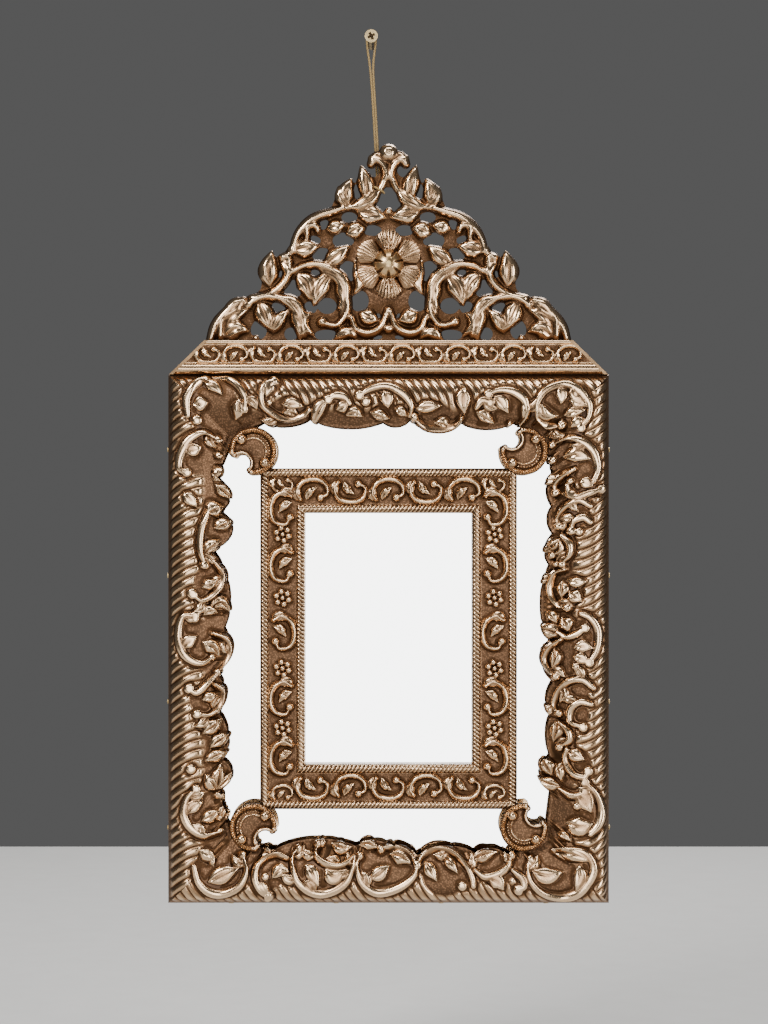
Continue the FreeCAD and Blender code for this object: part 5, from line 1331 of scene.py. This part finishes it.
# %% [markdown]
# ## Glass, wood and twine
# The mirror glass is silvered with a few aged spots, so it is a bright metal here and needs no second
# layer. The wood's grain runs along each stick, upright in the stiles and level in the rails. The twine has
# slanted strands and loose fibre.

# %% Glass, wood and twine
def mirror_glass():
    """Silvered glass, a little cloudy, with dim spots."""
    glass = Finish("mirror_glass")
    aged = glass.noise(160, 2.0).between(0.72, 0.8) * 0.35
    tone = aged.blend((0.93, 0.94, 0.93, 1), (0.35, 0.33, 0.3, 1))
    return glass.shade(Base_Color=tone, Roughness=glass.noise(14).between(0.4, 0.8) * 0.05, Metallic=1.0)


def wood(name, low, high, stretch):
    """Planed wood; its noise is drawn out along the grain."""
    stick = Finish(name)
    fibre = stick.noise(900, 2.0, stretch)
    grain = stick.noise(90, 4.0, stretch) * 0.65 + fibre * 0.35
    return stick.shade(Base_Color=grain.between(0.35, 0.65).blend(low, high), Roughness=0.6 + grain * 0.25,
                       Normal=stick.bump(fibre, 0.3, 0.0003))


def twine():
    """Gold-coloured twine: slanted strands and loose fibre."""
    yarn = Finish("twine")
    turned = yarn.node("ShaderNodeMapping", {}, {"Vector": yarn.coords(), "Rotation": (0, 0.6, 0)})
    strands = yarn.node("ShaderNodeTexWave", {"bands_direction": "Z"}, {"Vector": turned, "Scale": 550.0})
    fuzz = yarn.noise(3000)
    # The dark bands between the strands are painted shade in the grooves of the twist
    return yarn.shade(Base_Color=strands.blend((0.09, 0.05, 0.014, 1), (0.42, 0.28, 0.10, 1)),
                      Roughness=0.5 + fuzz * 0.3, Normal=yarn.bump(strands + fuzz * 0.3, 0.6, 0.0002))


ALONG_X, ALONG_Z = (0.08, 1, 1), (1, 1, 0.08)
WALNUT = ((0.09, 0.042, 0.018, 1), (0.26, 0.135, 0.06, 1))
finishes = {
    "embossed_sheet": embossed_metal(),
    "plain_sheet": plain_metal("plain_sheet", (0.20, 0.115, 0.055, 1), (0.42, 0.27, 0.145, 1), 0.42),
    "brass_pins": plain_metal("brass_pins", (0.40, 0.26, 0.10, 1), (0.75, 0.56, 0.28, 1), 0.3),
    "steel": plain_metal("steel", (0.25, 0.25, 0.26, 1), (0.55, 0.55, 0.56, 1), 0.3),
    "screw_brass": screw_brass(),
    "button_metal": button_metal(),
    "mirror_glass": mirror_glass(),
    "wood_rail": wood("wood_rail", *WALNUT, ALONG_X),
    "wood_stile": wood("wood_stile", *WALNUT, ALONG_Z),
    "board": wood("board", (0.17, 0.11, 0.065, 1), (0.33, 0.23, 0.14, 1), ALONG_Z),
    "twine": twine(),
}
print("finishes", len(finishes))

# %% [markdown]
# ## Dressing the pieces
# New pieces ride on the body that carries them and name their material slot. The CAD solids that still
# show, such as the glass, the board and the pins, get a finish that their name tells.

# %% Ride, slots and finishes
# Parts of a node's name and the finish they call for, the first that fits
NODE_FINISHES = (
    ("board_pins", "steel"), ("pins", "brass_pins"), ("glass", "mirror_glass"), ("board", "board"),
    ("hanging_screw", "screw_brass"), ("screw", "steel"), ("cord", "twine"), ("rosette_pin", "brass_pins"),
    ("boss", "button_metal"), ("crest_end", "plain_sheet"), ("left", "wood_stile"), ("right", "wood_stile"),
)


def give_finish(piece, finish_name):
    piece.data.materials.clear()
    piece.data.materials.append(finishes[finish_name])


def dress(piece, body, slot):
    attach(piece, body)
    give_finish(piece, slot)


for piece in outer_sheets + inner_sheets + corner_pieces + [frieze, crest, petals]:
    dress(piece, "mirror", "embossed_sheet")
for piece in (cord, knot):
    dress(piece, "hanging_cord", "twine")
for name, node in nodes.items():
    give_finish(node, next((finish for part, finish in NODE_FINISHES if part in name), "wood_rail"))

print("CAD nodes dressed", len(nodes))

# %% [markdown]
# ## Stage, light and camera
# A pale floor lies below the mirror. A white card behind the camera fills the glass, so that it shines
# white, as in the photograph. A key lamp, a side lamp and a top lamp bring out the relief, and one lamp
# lights the back. The key lamp is small, because a wide one would wash the relief out.

# %% Floor and light
FLOOR_PLACE = (0, 0.2, -0.62)
MIDDLE_OF_VIEW = (0.0073, 0, -0.273)

bpy.ops.mesh.primitive_plane_add(size=2, location=FLOOR_PLACE)
floor = bpy.context.active_object
floor.name = "floor"
floor_finish = Finish("floor")
floor_tone = floor_finish.noise(40).blend((0.62, 0.61, 0.59, 1), (0.68, 0.67, 0.65, 1))
floor.data.materials.append(floor_finish.shade(Base_Color=floor_tone, Roughness=0.8))
floor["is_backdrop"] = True

world = bpy.data.worlds.new("studio")
world.use_nodes = True
world.node_tree.nodes["Background"].inputs["Color"].default_value = (0.10, 0.10, 0.10, 1)
bpy.context.scene.world = world


def area_light(name, place, width, height, power, aim=MIDDLE_OF_VIEW):
    data = bpy.data.lights.new(name, "AREA")
    data.shape = "RECTANGLE"
    data.size, data.size_y, data.energy = width, height, power
    lamp = bpy.data.objects.new(name, data)
    bpy.context.scene.collection.objects.link(lamp)
    lamp.location = place
    lamp.rotation_euler = (Vector(aim) - Vector(place)).to_track_quat("-Z", "Y").to_euler()


# Name, place, width, height and power of each lamp that looks at the mirror's middle
LAMPS = (
    ("key", (-0.8, -1.2, 0.6), 0.45, 0.45, 26), ("side", (1.1, -1.0, -0.2), 0.3, 0.9, 14),
    ("top", (0.1, -0.5, 0.9), 0.8, 0.25, 9), ("back", (0.3, 1.3, 1.0), 0.9, 0.6, 30),
)
area_light("white_card", (0.0, -2.6, -0.45), 0.9, 1.1, 20, aim=(0, 0, -0.45))
for lamp in LAMPS:
    area_light(*lamp)
print("lamps", len(LAMPS) + 1)

# %% [markdown]
# ## Camera
# The photograph was taken straight on. The camera stands in front of its middle, and the lens follows from
# the height that the picture takes in at that distance.

# %% Camera
DISTANCE, PICTURE_HEIGHT, SENSOR = 1.5, 0.5898, 36

camera_data = bpy.data.cameras.new("photo")
camera_data.sensor_fit = "VERTICAL"
camera_data.sensor_height = SENSOR
camera_data.lens = SENSOR * DISTANCE / PICTURE_HEIGHT
camera = bpy.data.objects.new("photo", camera_data)
bpy.context.scene.collection.objects.link(camera)
camera.location = (MIDDLE_OF_VIEW[0], -DISTANCE, MIDDLE_OF_VIEW[2])
camera.rotation_euler = (math.pi / 2, 0, 0)
bpy.context.scene.camera = camera
print("lens", round(camera_data.lens, 1))

# %% Finish
low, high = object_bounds()
